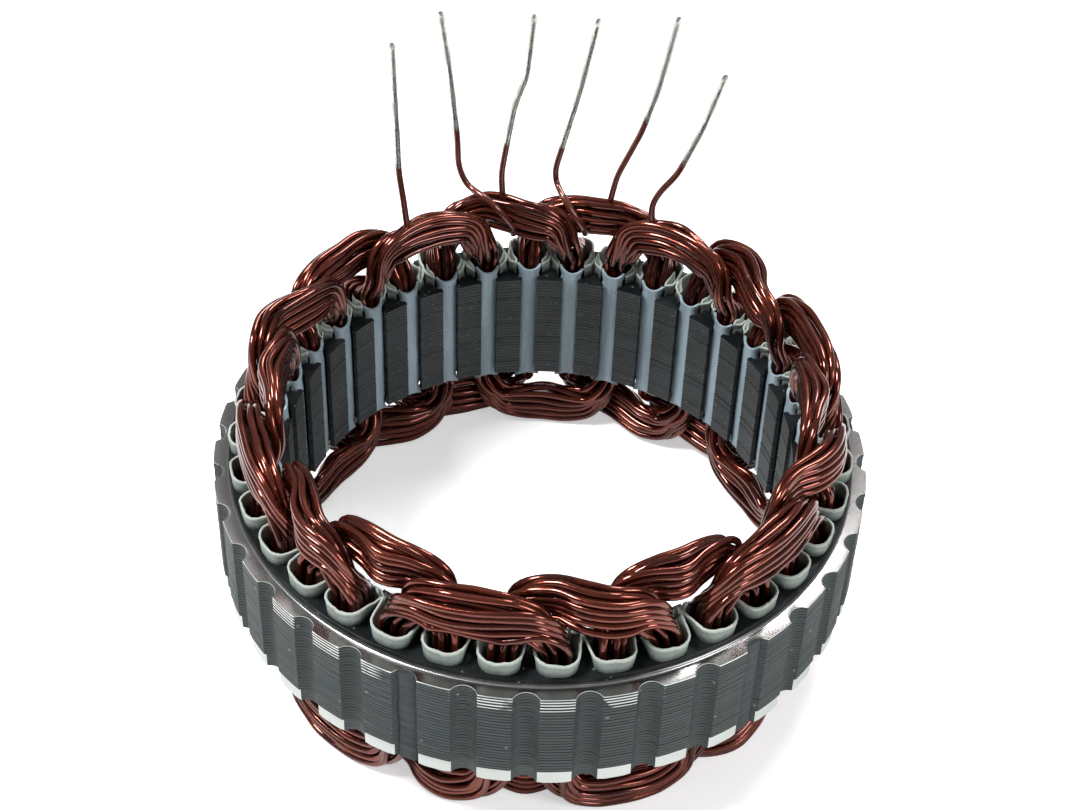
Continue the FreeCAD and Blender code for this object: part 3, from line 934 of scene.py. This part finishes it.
@dataclass
class WeldSeams:
    """Six painted weld seams that fill every sixth notch: a crowned bead with ripples along it."""

    core: LaminationCore
    groups: Groups
    count: int = 6
    width: float = 4.2
    recess: float = 0.8
    root: float = 2.2
    crown: float = 0.45
    ripple: float = 0.05
    ripple_pitch: float = 2.3
    wander: float = 0.12
    across: int = 13
    along: int = 90
    seed: int = 21

    def bead(self, rng: np.random.Generator) -> np.ndarray:
        """One bead's outline carried up the notch: crown, shallow ripples and a wandering skin."""
        u = np.linspace(-1, 1, self.across)
        low, high = self.core.bottom + self.core.seat_drop, self.core.top - self.core.ledge_drop
        z = np.linspace(low, high - 0.02, self.along)
        phase = 2 * np.pi * z / self.ripple_pitch + rng.random() * 6
        ripple = self.ripple * np.sin(phase)[:, None] * (1 - u ** 2)[None]
        wander = smooth_path(rng.normal(0, self.wander, (self.along, 1)), closed=False, width=6)
        skin = self.core.outer - self.recess - self.ripple
        front = skin - self.crown * u[None] ** 4 + ripple + wander
        side = np.broadcast_to(u * self.width / 2, front.shape)
        back = self.core.outer - self.recess - self.root
        x = np.concatenate([front, np.full((self.along, 2), back)], axis=1)
        corners = np.tile([self.width / 2, -self.width / 2], (self.along, 1))
        y = np.concatenate([side, corners], axis=1)
        return np.stack([x, y, np.broadcast_to(z[:, None], x.shape)], axis=-1)

    def build(self) -> None:
        """All six beads in one piece."""
        rng = np.random.default_rng(self.seed)
        angles = PITCH + 360 / self.count * np.arange(self.count)
        beads = [turned(self.bead(rng), angle) for angle in angles.tolist()]
        ring = self.across + 2
        size = self.along * ring
        faces = repeated(grid_faces(self.along, ring, close_columns=True), self.count, size)
        faces += repeated(end_caps(self.along, ring), self.count, size)
        paint = Varnish("weld_paint", Colour(0.030, 0.037, 0.041), Colour(0.055, 0.062, 0.066),
                        roughness=0.36, speck_share=0.01)
        welds = make_piece("weld_seams", np.concatenate(beads).reshape(-1, 3), faces,
                           [paint.build(self.groups)], sharp=50.0)
        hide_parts("lamination_stack")


# ---------------------------------------------------------------- liners and wedges

@dataclass
class SlotLiners:
    """Folded slot papers: a U down each slot, with collars and pleated ears past both faces."""

    core: LaminationCore
    groups: Groups
    clearance: float = 0.05
    wall: float = 0.42
    softer_corner: float = 0.6
    ear_reach: float = 1.0
    ear_gap: float = 0.15
    wedge_flange: float = 1.1
    peak: float = 5.3
    tallness: tuple[float, float] = (0.75, 1.15)
    arch: float = 1.35
    crumple: float = 0.05
    lower_share: float = 0.75
    rise: tuple[float, ...] = (0.0, 0.08, 0.25, 0.45, 0.65, 0.82, 0.93, 1.0)
    ear: tuple[float, ...] = (0.0, 0.12, 0.24, 0.36, 0.5, 0.66, 0.83, 1.0)
    seed: int = 300

    def path(self) -> tuple[np.ndarray, np.ndarray, np.ndarray]:
        """The paper's way round the slot, from one ear's tip to the other's.

        Returns:
            (n, 2) points across the slot, the outward side of each, and each point's share along its
            ear, from 0 at the tooth's middle to 1 at the slot, and past 1 on the U.
        """
        start = self.core.bore + self.core.tip_root + 2 * self.clearance + self.wedge_flange
        back = self.core.slot_back - self.clearance - 0.02
        corner = self.core.slot_corner + self.softer_corner
        tip = start + self.ear_reach
        root = np.array([start, self.core.slot_side(start) - self.clearance])
        middle = np.array([tip, tip * math.tan(HALF_PITCH) - self.ear_gap])
        ear = np.array(self.ear)
        corners = (middle + (root - middle) * ear[:-1, None]).tolist() + [root.tolist()]
        sides = np.linspace(start, back - corner, 8)[1:]
        corners += [(x, self.core.slot_side(x) - self.clearance) for x in sides.tolist()]
        turn = np.radians([22.5, 45.0, 67.5, 90.0])
        centre = (back - corner, self.core.slot_side(back) - self.clearance - corner)
        corners += (centre + corner * np.stack([np.sin(turn), np.cos(turn)], axis=1)).tolist()
        corners += [(back, centre[1] / 2), (back, 0.0)]
        half = np.array(corners)
        whole = np.concatenate([half, half[-2::-1] * [1, -1]])
        way = np.gradient(whole, axis=0)
        outward = unit(np.stack([-way[:, 1], way[:, 0]], axis=1))
        share = np.full(len(whole), 2.0)
        share[:len(ear)] = share[:-len(ear) - 1:-1] = ear
        return whole, outward, share

    def paper(self, rng: np.random.Generator) -> tuple[np.ndarray, list, dict[str, np.ndarray]]:
        """One liner: its way carried up the slot. Outside the core the sides lean over the teeth, most
        near the bore, and each ear is a pleat: its foot arches over the tooth and its rim has a peak.

        Args:
            rng: the source of each liner's own heights and crumples.
        Returns:
            The points, the quads, and each point's height off the core and distance from the rim.
        """
        way, outward, share = self.path()
        count = len(way)
        ears = share <= 1.0
        rise = np.array(self.rise)
        rows = np.concatenate([-rise[::-1], rise])
        end_of = np.where(rows[:, None] > 0, 1.0, self.lower_share)
        level = np.where(np.arange(len(rows)) < len(rise), self.core.bottom, self.core.top)
        tall = rng.uniform(*self.tallness, 2)[np.where(np.arange(count) < count // 2, 0, 1)]
        peak = np.interp(share, [0.0, 0.12, 0.24, 0.5, 1.0], [1.7, 3.6, self.peak, 3.9, 2.8])
        peak *= np.where(ears, tall, 1.0)
        root_side = np.interp(way[:, 0], [51.8, 53.4, 55.0, 60.0], [2.4, 3.6, 3.5, 3.2])
        wave = smooth_path(rng.normal(0, 0.5, (count, 1)), closed=False, width=3)[:, 0]
        rim_height = np.where(ears, peak, root_side) + np.clip(wave, -0.3, 0.3) * (share > 1)
        foot = np.where(ears, self.arch * np.sin(np.pi * np.clip(share, 0, 1)) ** 0.8 + 0.1, 0.0)
        amount = np.abs(rows[:, None])
        outside = np.sign(rows)[:, None] * (foot[None] * (1 - amount) + rim_height[None] * amount)
        z = level[:, None] + outside * end_of
        over_tooth = np.interp(way[:, 0], [52.2, 53.4, 58.6, 60.2], [1.0, 1.55, 0.35, 0.22])
        lean = np.where(ears, 0.25, over_tooth)[None] * amount ** 1.3
        crumple = self.crumple * rng.normal(size=(len(rows), count)) * amount
        spread = way[None] + outward[None] * (lean + crumple)[..., None]
        outwards = 0.7 * np.interp(share, [0, 0.24, 1.0], [0, 1, 0])
        spread[..., 0] += np.where(ears, outwards, 0.0)[None] * amount
        limit = spread[..., 0] * math.tan(HALF_PITCH) - 0.06
        spread[..., 1] = np.clip(spread[..., 1], -limit, limit)
        points = np.concatenate([spread, z[..., None]], axis=-1)
        body_row = np.arange(len(rows) - 1) == len(rise) - 1
        ear_column = (share[:-1] < 1.0) | (share[1:] < 1.0)
        quads = grid_faces(len(rows), count, keep=~(body_row[:, None] & ear_column[None]))
        layers = {"above": np.abs(outside), "rim": (1 - amount) * rim_height[None]}
        return points.reshape(-1, 3), quads.tolist(), layers

    def build(self) -> None:
        """All liners, each its own piece."""
        rng = np.random.default_rng(self.seed)
        material = LinerPaper("liner_paper").build(self.groups)
        for slot in range(SLOTS):
            points, faces, layers = self.paper(rng)
            points = turned(points, PITCH * (slot + 0.5))
            piece = make_piece(f"paper_liner_{slot + 1:02d}", points, faces, [material], sharp=55.0,
                               layers=layers)
            wall = piece.modifiers.new("wall", "SOLIDIFY")
            wall.thickness = self.wall * MM
            wall.offset = -1.0
            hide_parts(f"slot_liner_{slot + 1:02d}")


@dataclass
class SlotWedges:
    """C-shaped strips behind the tooth tips, with ends cut to a shallow arc."""

    core: LaminationCore
    groups: Groups
    clearance: float = 0.05
    wall: float = 0.45
    flange: float = 1.1
    overhang: float = 2.6
    dip: float = 1.3
    waist: float = 0.76
    hidden_run: float = 2.5
    bow: float = 0.8
    uneven: float = 0.3
    slant: float = 0.2
    seed: int = 77

    def strip(self, rng: np.random.Generator) -> tuple[np.ndarray, np.ndarray]:
        """One strip: a closed C outline carried up the slot; its ends dip in the middle.

        Returns:
            (rows, columns, 3) points and the faces that close it.
        """
        front = self.core.bore + self.core.tip_root + self.clearance
        end = front + self.flange
        half = self.core.slot_side(front) - self.clearance
        across = np.linspace(-1, 1, 13)
        bow = self.bow * np.abs(across) ** 3.5
        flange_side = self.core.slot_side(end) - self.clearance
        walls = []
        for inset in (0.0, self.wall):
            middle = np.stack([front + bow + inset, across * (half - inset)], axis=1)
            flange = np.array([[end, flange_side - inset]])
            walls.append(np.concatenate([flange * [1, -1], middle, flange]))
        outer, inner = walls
        outline = np.concatenate([outer, inner[::-1]])
        count = len(outer)
        share = np.concatenate([[-1.0], across, [1.0]])
        share = np.concatenate([share, share[::-1]])
        extra = self.overhang - self.dip * (1 - share ** 2) + rng.uniform(-self.uneven, self.uneven)
        extra = np.minimum(extra + self.slant * rng.normal() * share, self.overhang + self.uneven)
        outside = np.array([1.0, 0.6, 0.3, 0.0])[:, None]
        low, high = self.core.bottom, self.core.top
        hidden = np.full((1, len(share)), self.hidden_run)
        z = np.concatenate([low - outside * extra, low + hidden, high - hidden,
                            high + outside[::-1] * extra])
        narrow = 1 - (1 - self.waist) * (1 - outside)
        narrow = np.concatenate([narrow, [[1.0], [1.0]], narrow[::-1]])
        x = np.broadcast_to(outline[:, 0], z.shape)
        points = np.stack([x, outline[:, 1] * narrow, z], axis=-1)
        quads = grid_faces(len(z), 2 * count, close_columns=True)
        edge = np.arange(count - 1)
        cap = np.stack([edge, edge + 1, 2 * count - 2 - edge, 2 * count - 1 - edge], axis=1)
        top = cap + (len(z) - 1) * 2 * count
        return points, np.concatenate([quads, cap[:, ::-1], top])

    def build(self) -> None:
        """Three sets of strips, one for each phase's slots."""
        rng = np.random.default_rng(self.seed)
        material = WedgeStrip("wedge_strip").build(self.groups)
        for phase in Phase:
            slots = range(phase.first_slot, phase.first_slot + SLOTS, SLOTS_PER_HANK)
            shells = []
            for slot in slots:
                strip, quads = self.strip(rng)
                shells.append(turned(strip, PITCH * (slot + 0.5)).reshape(-1, 3))
            piece = make_piece(f"wedge_strips_{phase.letter}", np.concatenate(shells),
                               repeated(quads, len(slots), len(shells[0])), [material], sharp=40.0)
            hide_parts(f"slot_wedges_{phase.letter}")


# ---------------------------------------------------------------- the winding

class Phase(Enum):
    """A phase: its letter, its first slot and the lanes where its hanks start and end."""

    A = ("a", 0, "outer", "outer")
    B = ("b", 2, "inner", "outer")
    C = ("c", 4, "inner", "inner")

    def __init__(self, letter: str, first_slot: int, start_lane: str, end_lane: str) -> None:
        """Keeps the phase's facts."""
        self.letter = letter
        self.first_slot = first_slot
        self.start_lane = start_lane
        self.end_lane = end_lane


@dataclass(frozen=True)
class Stations:
    """A phase's bundle at even steps: middle line, side directions, half sizes, share of hank."""

    centre: np.ndarray
    across: np.ndarray
    normal: np.ndarray
    depth: np.ndarray
    width: np.ndarray
    hank: np.ndarray


@dataclass
class Winding:
    """Three wave-wound phases of round enamelled wire, each wire its own closed tube."""

    core: LaminationCore
    groups: Groups
    span: float = 30.0
    leg_radius: float = 55.45
    leg_depth: float = 3.9
    leg_width: float = 2.24
    outer_lane: tuple[float, float] = (56.5, 2.6)
    inner_lane: tuple[float, float] = (51.5, 1.85)
    outer_run: float = 56.2
    inner_run: float = 52.55
    run_depth: float = 2.9
    half_height: float = 4.4
    out_of_liner: float = 3.55
    bend_rise: float = 3.0
    shoulder_drop: float = 1.0
    bottom_overhang: float = 15.85
    lead_side_lift: float = 2.6
    wire: float = 1.42
    wire_count: int = 15
    roll: float = 1.2
    sag: float = 1.3
    slot_wander: float = 0.10
    hank_wander: float = 0.42
    slot_jitter: float = 0.10
    hank_jitter: float = 0.05
    sides: int = 9
    steps_per_hank: int = 44
    steps_per_leg: int = 3
    seed: int = 40
    top_overhang: tuple[float, float, float] = (15.4, 16.3, 17.1)

    def overhang(self, phase: Phase, end: int, angle: np.ndarray) -> np.ndarray:
        """How far a phase's crest stands off the core at some angles: more on the leads' side."""
        if end < 0:
            return np.full(angle.shape, self.bottom_overhang)
        lift = self.lead_side_lift * (1 + np.sin(np.radians(angle))) / 2
        return self.top_overhang["abc".index(phase.letter)] + lift

    def middle_radius(self, phase: Phase) -> float:
        """The radius of a hank's middle, between the runs of its two lanes."""
        runs = {"outer": self.outer_run, "inner": self.inner_run}
        return (runs[phase.start_lane] + runs[phase.end_lane]) / 2

    def half_hank(self, phase: Phase, end: int, slot_angle: float, turn: int,
                  lane: str) -> np.ndarray:
        """Stations from a slot to the hank's middle.

        Args:
            phase: the phase.
            end: 1 above the core, -1 below.
            slot_angle: the slot's angle.
            turn: 1 where the hank leaves with the angle, -1 against it.
            lane: the lane the hank takes at this slot.
        Returns:
            Five rows of angle, radius, height, half depth, half width and share of hank.
        """
        face = self.core.top if end > 0 else self.core.bottom
        radius, depth = self.outer_lane if lane == "outer" else self.inner_lane
        angle = slot_angle + turn * np.array([0.0, 0.04, 0.14, 0.34, 0.5]) * self.span
        level = self.overhang(phase, end, angle) - self.half_height
        off_core = [self.out_of_liner, self.out_of_liner + self.bend_rise,
                    level[2] - self.shoulder_drop, level[3], level[4]]
        middle = [self.leg_radius, radius, radius, radius, self.middle_radius(phase)]
        half_depth = [self.leg_depth, depth, depth, depth, self.run_depth]
        between = (self.leg_width + self.half_height) / 2
        half_width = [self.leg_width, between] + [self.half_height] * 3
        hank = [0.0, 0.35, 0.8, 1.0, 1.0]
        height = face + end * np.array(off_core)
        return np.stack([angle, middle, height, half_depth, half_width, hank], axis=1)

    def wave(self, phase: Phase) -> np.ndarray:
        """All stations of one phase round the ring, with a leg between each hank and the next."""
        stations = []
        for pair in range(SLOTS // (2 * SLOTS_PER_HANK)):
            angle = (phase.first_slot + 2 * SLOTS_PER_HANK * pair + 0.5) * PITCH
            for end, first in ((1, angle), (-1, angle + self.span)):
                start = self.half_hank(phase, end, first, 1, phase.start_lane)
                finish = self.half_hank(phase, end, first + self.span, -1, phase.end_lane)
                stations += [start, finish[-2::-1]]
        return np.concatenate(stations)

    def stations(self, phase: Phase) -> Stations:
        """Even, rounded stations of a phase, thinned out along the legs.

        The straight runs between stations are walked at half-millimetre steps, averaged over a short
        window, and then picked at even shares of each hank and a few of each leg.
        """
        rough = self.wave(phase)
        centre = polar(rough[:, 1], rough[:, 0], rough[:, 2])
        reached = distance_along(np.concatenate([centre, centre[:1]]))
        count = int(reached[-1] / STEP)
        fine = np.arange(count) * reached[-1] / count
        values = np.concatenate([centre, rough[:, 3:6]], axis=1)
        values = np.concatenate([values, values[:1]])
        dense = smooth_path(sample(fine, reached, values), closed=True, width=7)
        way = unit(np.roll(dense[:, :3], -1, axis=0) - np.roll(dense[:, :3], 1, axis=0))
        across = square_to(way, unit(dense[:, :3] * [1, 1, 0]))
        normal = np.cross(way, across)
        per_hank = len(rough) * SLOTS_PER_HANK // SLOTS
        hank_starts = reached[np.arange(0, len(rough), per_hank)]
        hank_ends = reached[np.arange(per_hank - 1, len(rough), per_hank)]
        picks = []
        next_starts = np.append(hank_starts[1:], reached[-1])
        for start, end, following in zip(hank_starts, hank_ends, next_starts):
            picks.append(np.linspace(start, end, self.steps_per_hank))
            picks.append(np.linspace(end, following, self.steps_per_leg + 2)[1:-1])
        whole = np.concatenate([dense, across, normal], axis=1)
        whole = np.concatenate([whole, whole[:1]])
        table = sample(np.concatenate(picks), np.append(fine, reached[-1]), whole)
        return Stations(table[:, :3], table[:, 6:9], table[:, 9:12], *table[:, 3:6].T)

    def bundle_places(self, rng: np.random.Generator) -> tuple[np.ndarray, np.ndarray]:
        """Each wire's place across the bundle, in slot and hank, as shares of its half sizes.

        In the slot the wires lie in three columns of five. In the hank they lie in three layers whose
        rows are staggered, so that a wire of each row shows at the surface.
        """
        row, column = np.divmod(np.arange(self.wire_count), 3)
        rows = self.wire_count // 3
        slot = np.stack([1 - 2 * (row + 0.15 * column) / (rows - 0.7), (column - 1.0) * 0.95], axis=1)
        level = 1 - 2 * (row + column / 3) / (rows - 1 / 3)
        hank = np.stack([np.choose(column, [0.95, -0.9, 0.05]), level], axis=1)
        slot = slot + rng.normal(0, self.slot_jitter, slot.shape)
        return slot, hank + rng.normal(0, self.hank_jitter, hank.shape)

    def wires(self, phase: Phase,
              rng: np.random.Generator) -> tuple[np.ndarray, np.ndarray, np.ndarray]:
        """The wires' middle lines: each keeps its place in the bundle and wanders a little.

        The places turn together along the hank, and the wires nearest the core hang lower.

        Args:
            phase: the phase.
            rng: the source of the places, the wander and the tints.
        Returns:
            (wires, n, 3) points, (n, 3) outward directions and each wire's tint.
        """
        line = self.stations(phase)
        slot, hank = self.bundle_places(rng)
        count, steps = len(slot), len(line.centre)
        blend = line.hank[None, :, None]
        place = slot[:, None] * (1 - blend) + hank[:, None] * blend
        wander = rng.normal(0, 1.0, (steps, count * 2))
        wander = smooth_path(wander, closed=True, width=8).reshape(steps, count, 2).transpose(1, 0, 2)
        room = np.stack([line.depth, line.width], axis=-1)[None] - self.wire / 2
        turning = smooth_path(rng.normal(0, 1.0, (steps, 1)), closed=True, width=22)
        roll = turning[None, :, 0] * self.roll * line.hank
        cosine, sine = np.cos(roll), np.sin(roll)
        first, second = np.moveaxis(place, -1, 0)
        place = np.stack([first * cosine - second * sine, first * sine + second * cosine], axis=-1)
        loose = self.slot_wander + self.hank_wander * blend
        offset = np.clip(np.clip(place, -1, 1) * room + wander * loose, -room, room)
        offset[..., 1] *= 1 + (1 - line.hank) * (0.22 + 0.18 * place[..., 0])
        points = (line.centre[None] + line.across[None] * offset[..., :1]
                  + line.normal[None] * offset[..., 1:])
        end = np.sign(points[..., 2] - (self.core.top + self.core.bottom) / 2)
        inward = -offset[..., 1] * np.sign(line.normal[None, :, 2]) * end / self.half_height
        points[..., 2] -= self.sag * np.clip(inward, 0, 1) * line.hank * end
        return points, line.across, rng.random(count)

    def build(self) -> None:
        """The three phases."""
        material = Enamel("wire_enamel").build(self.groups)
        for number, phase in enumerate(Phase):
            paths, outward, tints = self.wires(phase, np.random.default_rng(self.seed + number))
            radius = np.full(len(outward), self.wire / 2)
            tubes = [tube_surface(path, outward, radius, self.sides, closed=True) for path in paths]
            size = len(outward) * self.sides
            tube = grid_faces(len(outward), self.sides, close_rows=True, close_columns=True)
            piece = make_piece(f"phase_{phase.letter}_wires", np.concatenate(tubes).reshape(-1, 3),
                               repeated(tube, len(tubes), size), [material], sharp=80.0,
                               layers={"tint": np.repeat(tints, size)})
            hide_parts(f"phase_{phase.letter}_winding")


@dataclass(frozen=True)
class Lead:
    """One lead: the CAD node it stands for, its route and where its tin starts above the ledge.

    The route's steps are (right, up) from the crest at an angle. A tail comes before them, inside the
    hank, as (angle, radius, height above the core).
    """

    node: str
    phase: Phase
    angle: float
    steps: tuple[tuple[float, float], ...]
    tin_from: float
    tail: tuple[tuple[float, float, float], ...] = ()


@dataclass
class PhaseLeads:
    """Six stiff leads that rise from the crests; their upper ends are stripped and tinned."""

    core: LaminationCore
    winding: Winding
    groups: Groups
    wire: float = 1.38
    sides: int = 16
    lump: float = 0.06
    tip: tuple[float, float, float] = (0.97, 0.88, 0.62)
    seed: int = 900
    leads: tuple[Lead, ...] = (
        Lead("phase_a_lead_start", Phase.A, 88.0,
             ((-1.5, 3), (-1.9, 6.5), (-0.4, 13), (2.7, 27), (5.6, 43.5)), 31.9,
             ((82.4, 53.2, 10.5), (82.6, 50.6, 14.2), (85.8, 50.8, 18.0), (88.0, 53.0, 20.2))),
        Lead("phase_a_lead_end", Phase.A, 78.0,
             ((0, -2), (1.3, 6), (5.8, 17.5), (8.6, 28), (11.5, 45)), 40.5),
        Lead("phase_b_lead_start", Phase.B, 101.0,
             ((0, -2), (-0.5, 5.5), (0.4, 12), (2.0, 23), (4.3, 30), (5.4, 44)), 33.9),
        Lead("phase_b_lead_end", Phase.B, 107.0,
             ((-1.6, 2.2), (-3.4, 7), (-3.6, 14), (-5.2, 31), (-7, 44)), 37.2,
             ((98.8, 53.4, 9.5), (99.4, 50.5, 13.8), (103.0, 50.4, 18.6), (106.0, 52.6, 20.7))),
        Lead("phase_c_lead_start", Phase.C, 66.0,
             ((0, -2), (-0.7, 3.5), (0.7, 7), (4, 11.5), (8.5, 23.5), (11.9, 36)), 36.0),
        Lead("phase_c_lead_end", Phase.C, 125.0, ((0, -2), (-0.8, 6), (-1.6, 12.5), (-2.4, 43)), 35.8),
    )

    def foot(self, lead: Lead) -> np.ndarray:
        """The crest of the phase's upper hank at the lead's angle."""
        rough = self.winding.wave(lead.phase)
        upper = rough[rough[:, 2] > self.core.top]
        before, after = upper[:-1], upper[1:]
        span = after[:, 0] - before[:, 0]
        inside = ((before[:, 0] <= lead.angle) & (after[:, 0] > lead.angle)
                  & (span < self.winding.span))
        first, last = before[inside][0], after[inside][0]
        share = (lead.angle - first[0]) / (last[0] - first[0])
        low, high = polar(first[1], first[0], first[2]), polar(last[1], last[0], last[2])
        return low + (high - low) * share + np.array([0, 0, self.winding.half_height])

    def route(self, lead: Lead) -> np.ndarray:
        """The lead's rounded middle line at half-millimetre steps."""
        foot = self.foot(lead)
        steps = np.array(lead.steps, dtype=float)
        points = foot + np.stack([steps[:, 0], np.zeros(len(steps)), steps[:, 1]], axis=1)
        if lead.tail:
            angle, radius, above = np.array(lead.tail).T
            points = np.concatenate([polar(radius, angle, self.core.top + above), points])
        run = distance_along(points)
        fine = np.linspace(0, run[-1] - 0.05, int(run[-1] / STEP))
        return smooth_path(sample(fine, run, points), closed=False, width=7)

    def build(self) -> None:
        """One piece per lead: a tube with a rounded tip."""
        material = TinnedLead("tinned_lead").build(self.groups)
        ledge = self.core.top - self.core.ledge_drop
        for number, lead in enumerate(self.leads):
            rng = np.random.default_rng(self.seed + number)
            path = self.route(lead)
            past = path[:, 2] - (ledge + lead.tin_from)
            lumps = rng.normal(0, self.lump, (len(path), 1))
            lumps = smooth_path(lumps, closed=False, width=3)[:, 0]
            radius = self.wire / 2 + np.where(past > 0, np.clip(lumps, -0.03, 0.05), -0.01)
            radius[-len(self.tip):] *= self.tip
            outward = np.tile([0.0, 1.0, 0.0], (len(path), 1))
            tube = tube_surface(path, outward, radius, self.sides, closed=False)
            faces = grid_faces(len(path), self.sides, close_columns=True).tolist()
            faces += end_caps(len(path), self.sides).tolist()
            piece = make_piece(f"lead_{number + 1}", tube.reshape(-1, 3), faces, [material],
                               sharp=60.0, layers={"past_border": np.repeat(past, self.sides)})
            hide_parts(lead.node)


# ---------------------------------------------------------------- the room

@dataclass
class Studio:
    """Pale floor, soft lamps, a white world and the camera."""

    ledge: float
    floor_size: float = 6.0
    place: tuple[float, float, float] = (3.637, -299.503, 287.448)
    pitch: float = 42.674
    yaw: float = -0.779
    roll: float = 2.143
    lens: float = 70.2
    ambient: float = 0.27
    aim: tuple[float, float, float] = (0.0, 0.0, 0.03)
    lamps: tuple[tuple, ...] = (
        ("key", (-0.5, -0.1, 0.9), (0.26, 0.26), 12.0),
        ("fill", (0.75, -0.5, 0.55), (0.35, 0.35), 4.0),
        ("back", (0.3, 0.5, 1.0), (0.28, 0.28), 6.0),
        ("streak", (0.0, 0.77, 1.03), (0.62, 0.2), 0.6))

    def camera(self) -> None:
        """A camera that looks down at the front of the ring."""
        data = bpy.data.cameras.new("view")
        data.lens = self.lens
        data.sensor_width = 36.0
        data.sensor_fit = "HORIZONTAL"
        data.clip_start = 0.01
        camera = bpy.data.objects.new("view", data)
        bpy.context.scene.collection.objects.link(camera)
        pitch, yaw, roll = map(math.radians, (self.pitch, self.yaw, self.roll))
        flat = math.cos(pitch)
        forward = Vector((math.sin(yaw) * flat, math.cos(yaw) * flat, -math.sin(pitch)))
        right = forward.cross(Vector((0, 0, 1))).normalized()
        up = right.cross(forward)
        leaned_right = right * math.cos(roll) + up * math.sin(roll)
        leaned_up = up * math.cos(roll) - right * math.sin(roll)
        turn = Matrix((leaned_right, leaned_up, -forward)).transposed().to_4x4()
        where = Vector((self.place[0], self.place[1], self.place[2] + self.ledge)) * MM
        camera.matrix_world = Matrix.Translation(where) @ turn
        bpy.context.scene.camera = camera

    def lamp(self, name: str, place: tuple, size: tuple[float, float], power: float) -> None:
        """A flat lamp aimed at the stator."""
        data = bpy.data.lights.new(name, "AREA")
        data.shape = "RECTANGLE"
        data.size, data.size_y = size
        data.energy = power
        lamp = bpy.data.objects.new(name, data)
        lamp.location = place
        lamp.rotation_euler = (Vector(self.aim) - Vector(place)).to_track_quat("-Z", "Y").to_euler()
        bpy.context.scene.collection.objects.link(lamp)

    def floor(self) -> None:
        """A plain floor under the winding, pale enough to read white."""
        half = self.floor_size / 2
        mesh = bpy.data.meshes.new("floor")
        corners = [(-half, -half, 0), (half, -half, 0), (half, half, 0), (-half, half, 0)]
        mesh.from_pydata(corners, [], [(0, 1, 2, 3)])
        coat = Coat("floor_white")
        seen = coat.read("ShaderNodeLightPath", "Is Camera Ray")
        coat.fill(coat.shader, 0, Base_Color=WHITE * 0.93, Roughness=0.9, Specular_IOR_Level=0.1,
                  Emission_Color=WHITE, Emission_Strength=seen * 0.5)
        mesh.materials.append(coat.material)
        floor = bpy.data.objects.new("floor", mesh)
        bpy.context.scene.collection.objects.link(floor)

    def world(self) -> None:
        """A soft white world, at full white where it is seen directly or through something."""
        world = bpy.data.worlds.new("studio")
        world.use_nodes = True
        shade = Shade(world.node_tree)
        background = next(item for item in world.node_tree.nodes if item.type == "BACKGROUND")
        seen = shade.maths("MAXIMUM", shade.read("ShaderNodeLightPath", "Is Camera Ray"),
                           shade.read("ShaderNodeLightPath", "Is Transmission Ray"))
        shade.fill(background, 0, Color=WHITE, Strength=seen * (1.0 - self.ambient) + self.ambient)
        bpy.context.scene.world = world

    def build(self) -> None:
        """Sets the room up."""
        self.floor()
        self.world()
        for lamp in self.lamps:
            self.lamp(*lamp)
        bpy.context.scene.view_settings.view_transform = "Standard"
        self.camera()


def main() -> None:
    """Builds and dresses the stator."""
    logging.basicConfig(level=logging.INFO, format="%(name)s: %(message)s")
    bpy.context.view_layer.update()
    groups = Groups()
    core = LaminationCore(groups)
    core.build()
    WeldSeams(core, groups).build()
    SlotLiners(core, groups).build()
    SlotWedges(core, groups).build()
    winding = Winding(core, groups)
    winding.build()
    PhaseLeads(core, winding, groups).build()
    Studio(core.top - core.ledge_drop).build()
    LOG.info("done")


if __name__ == "__main__":
    main()
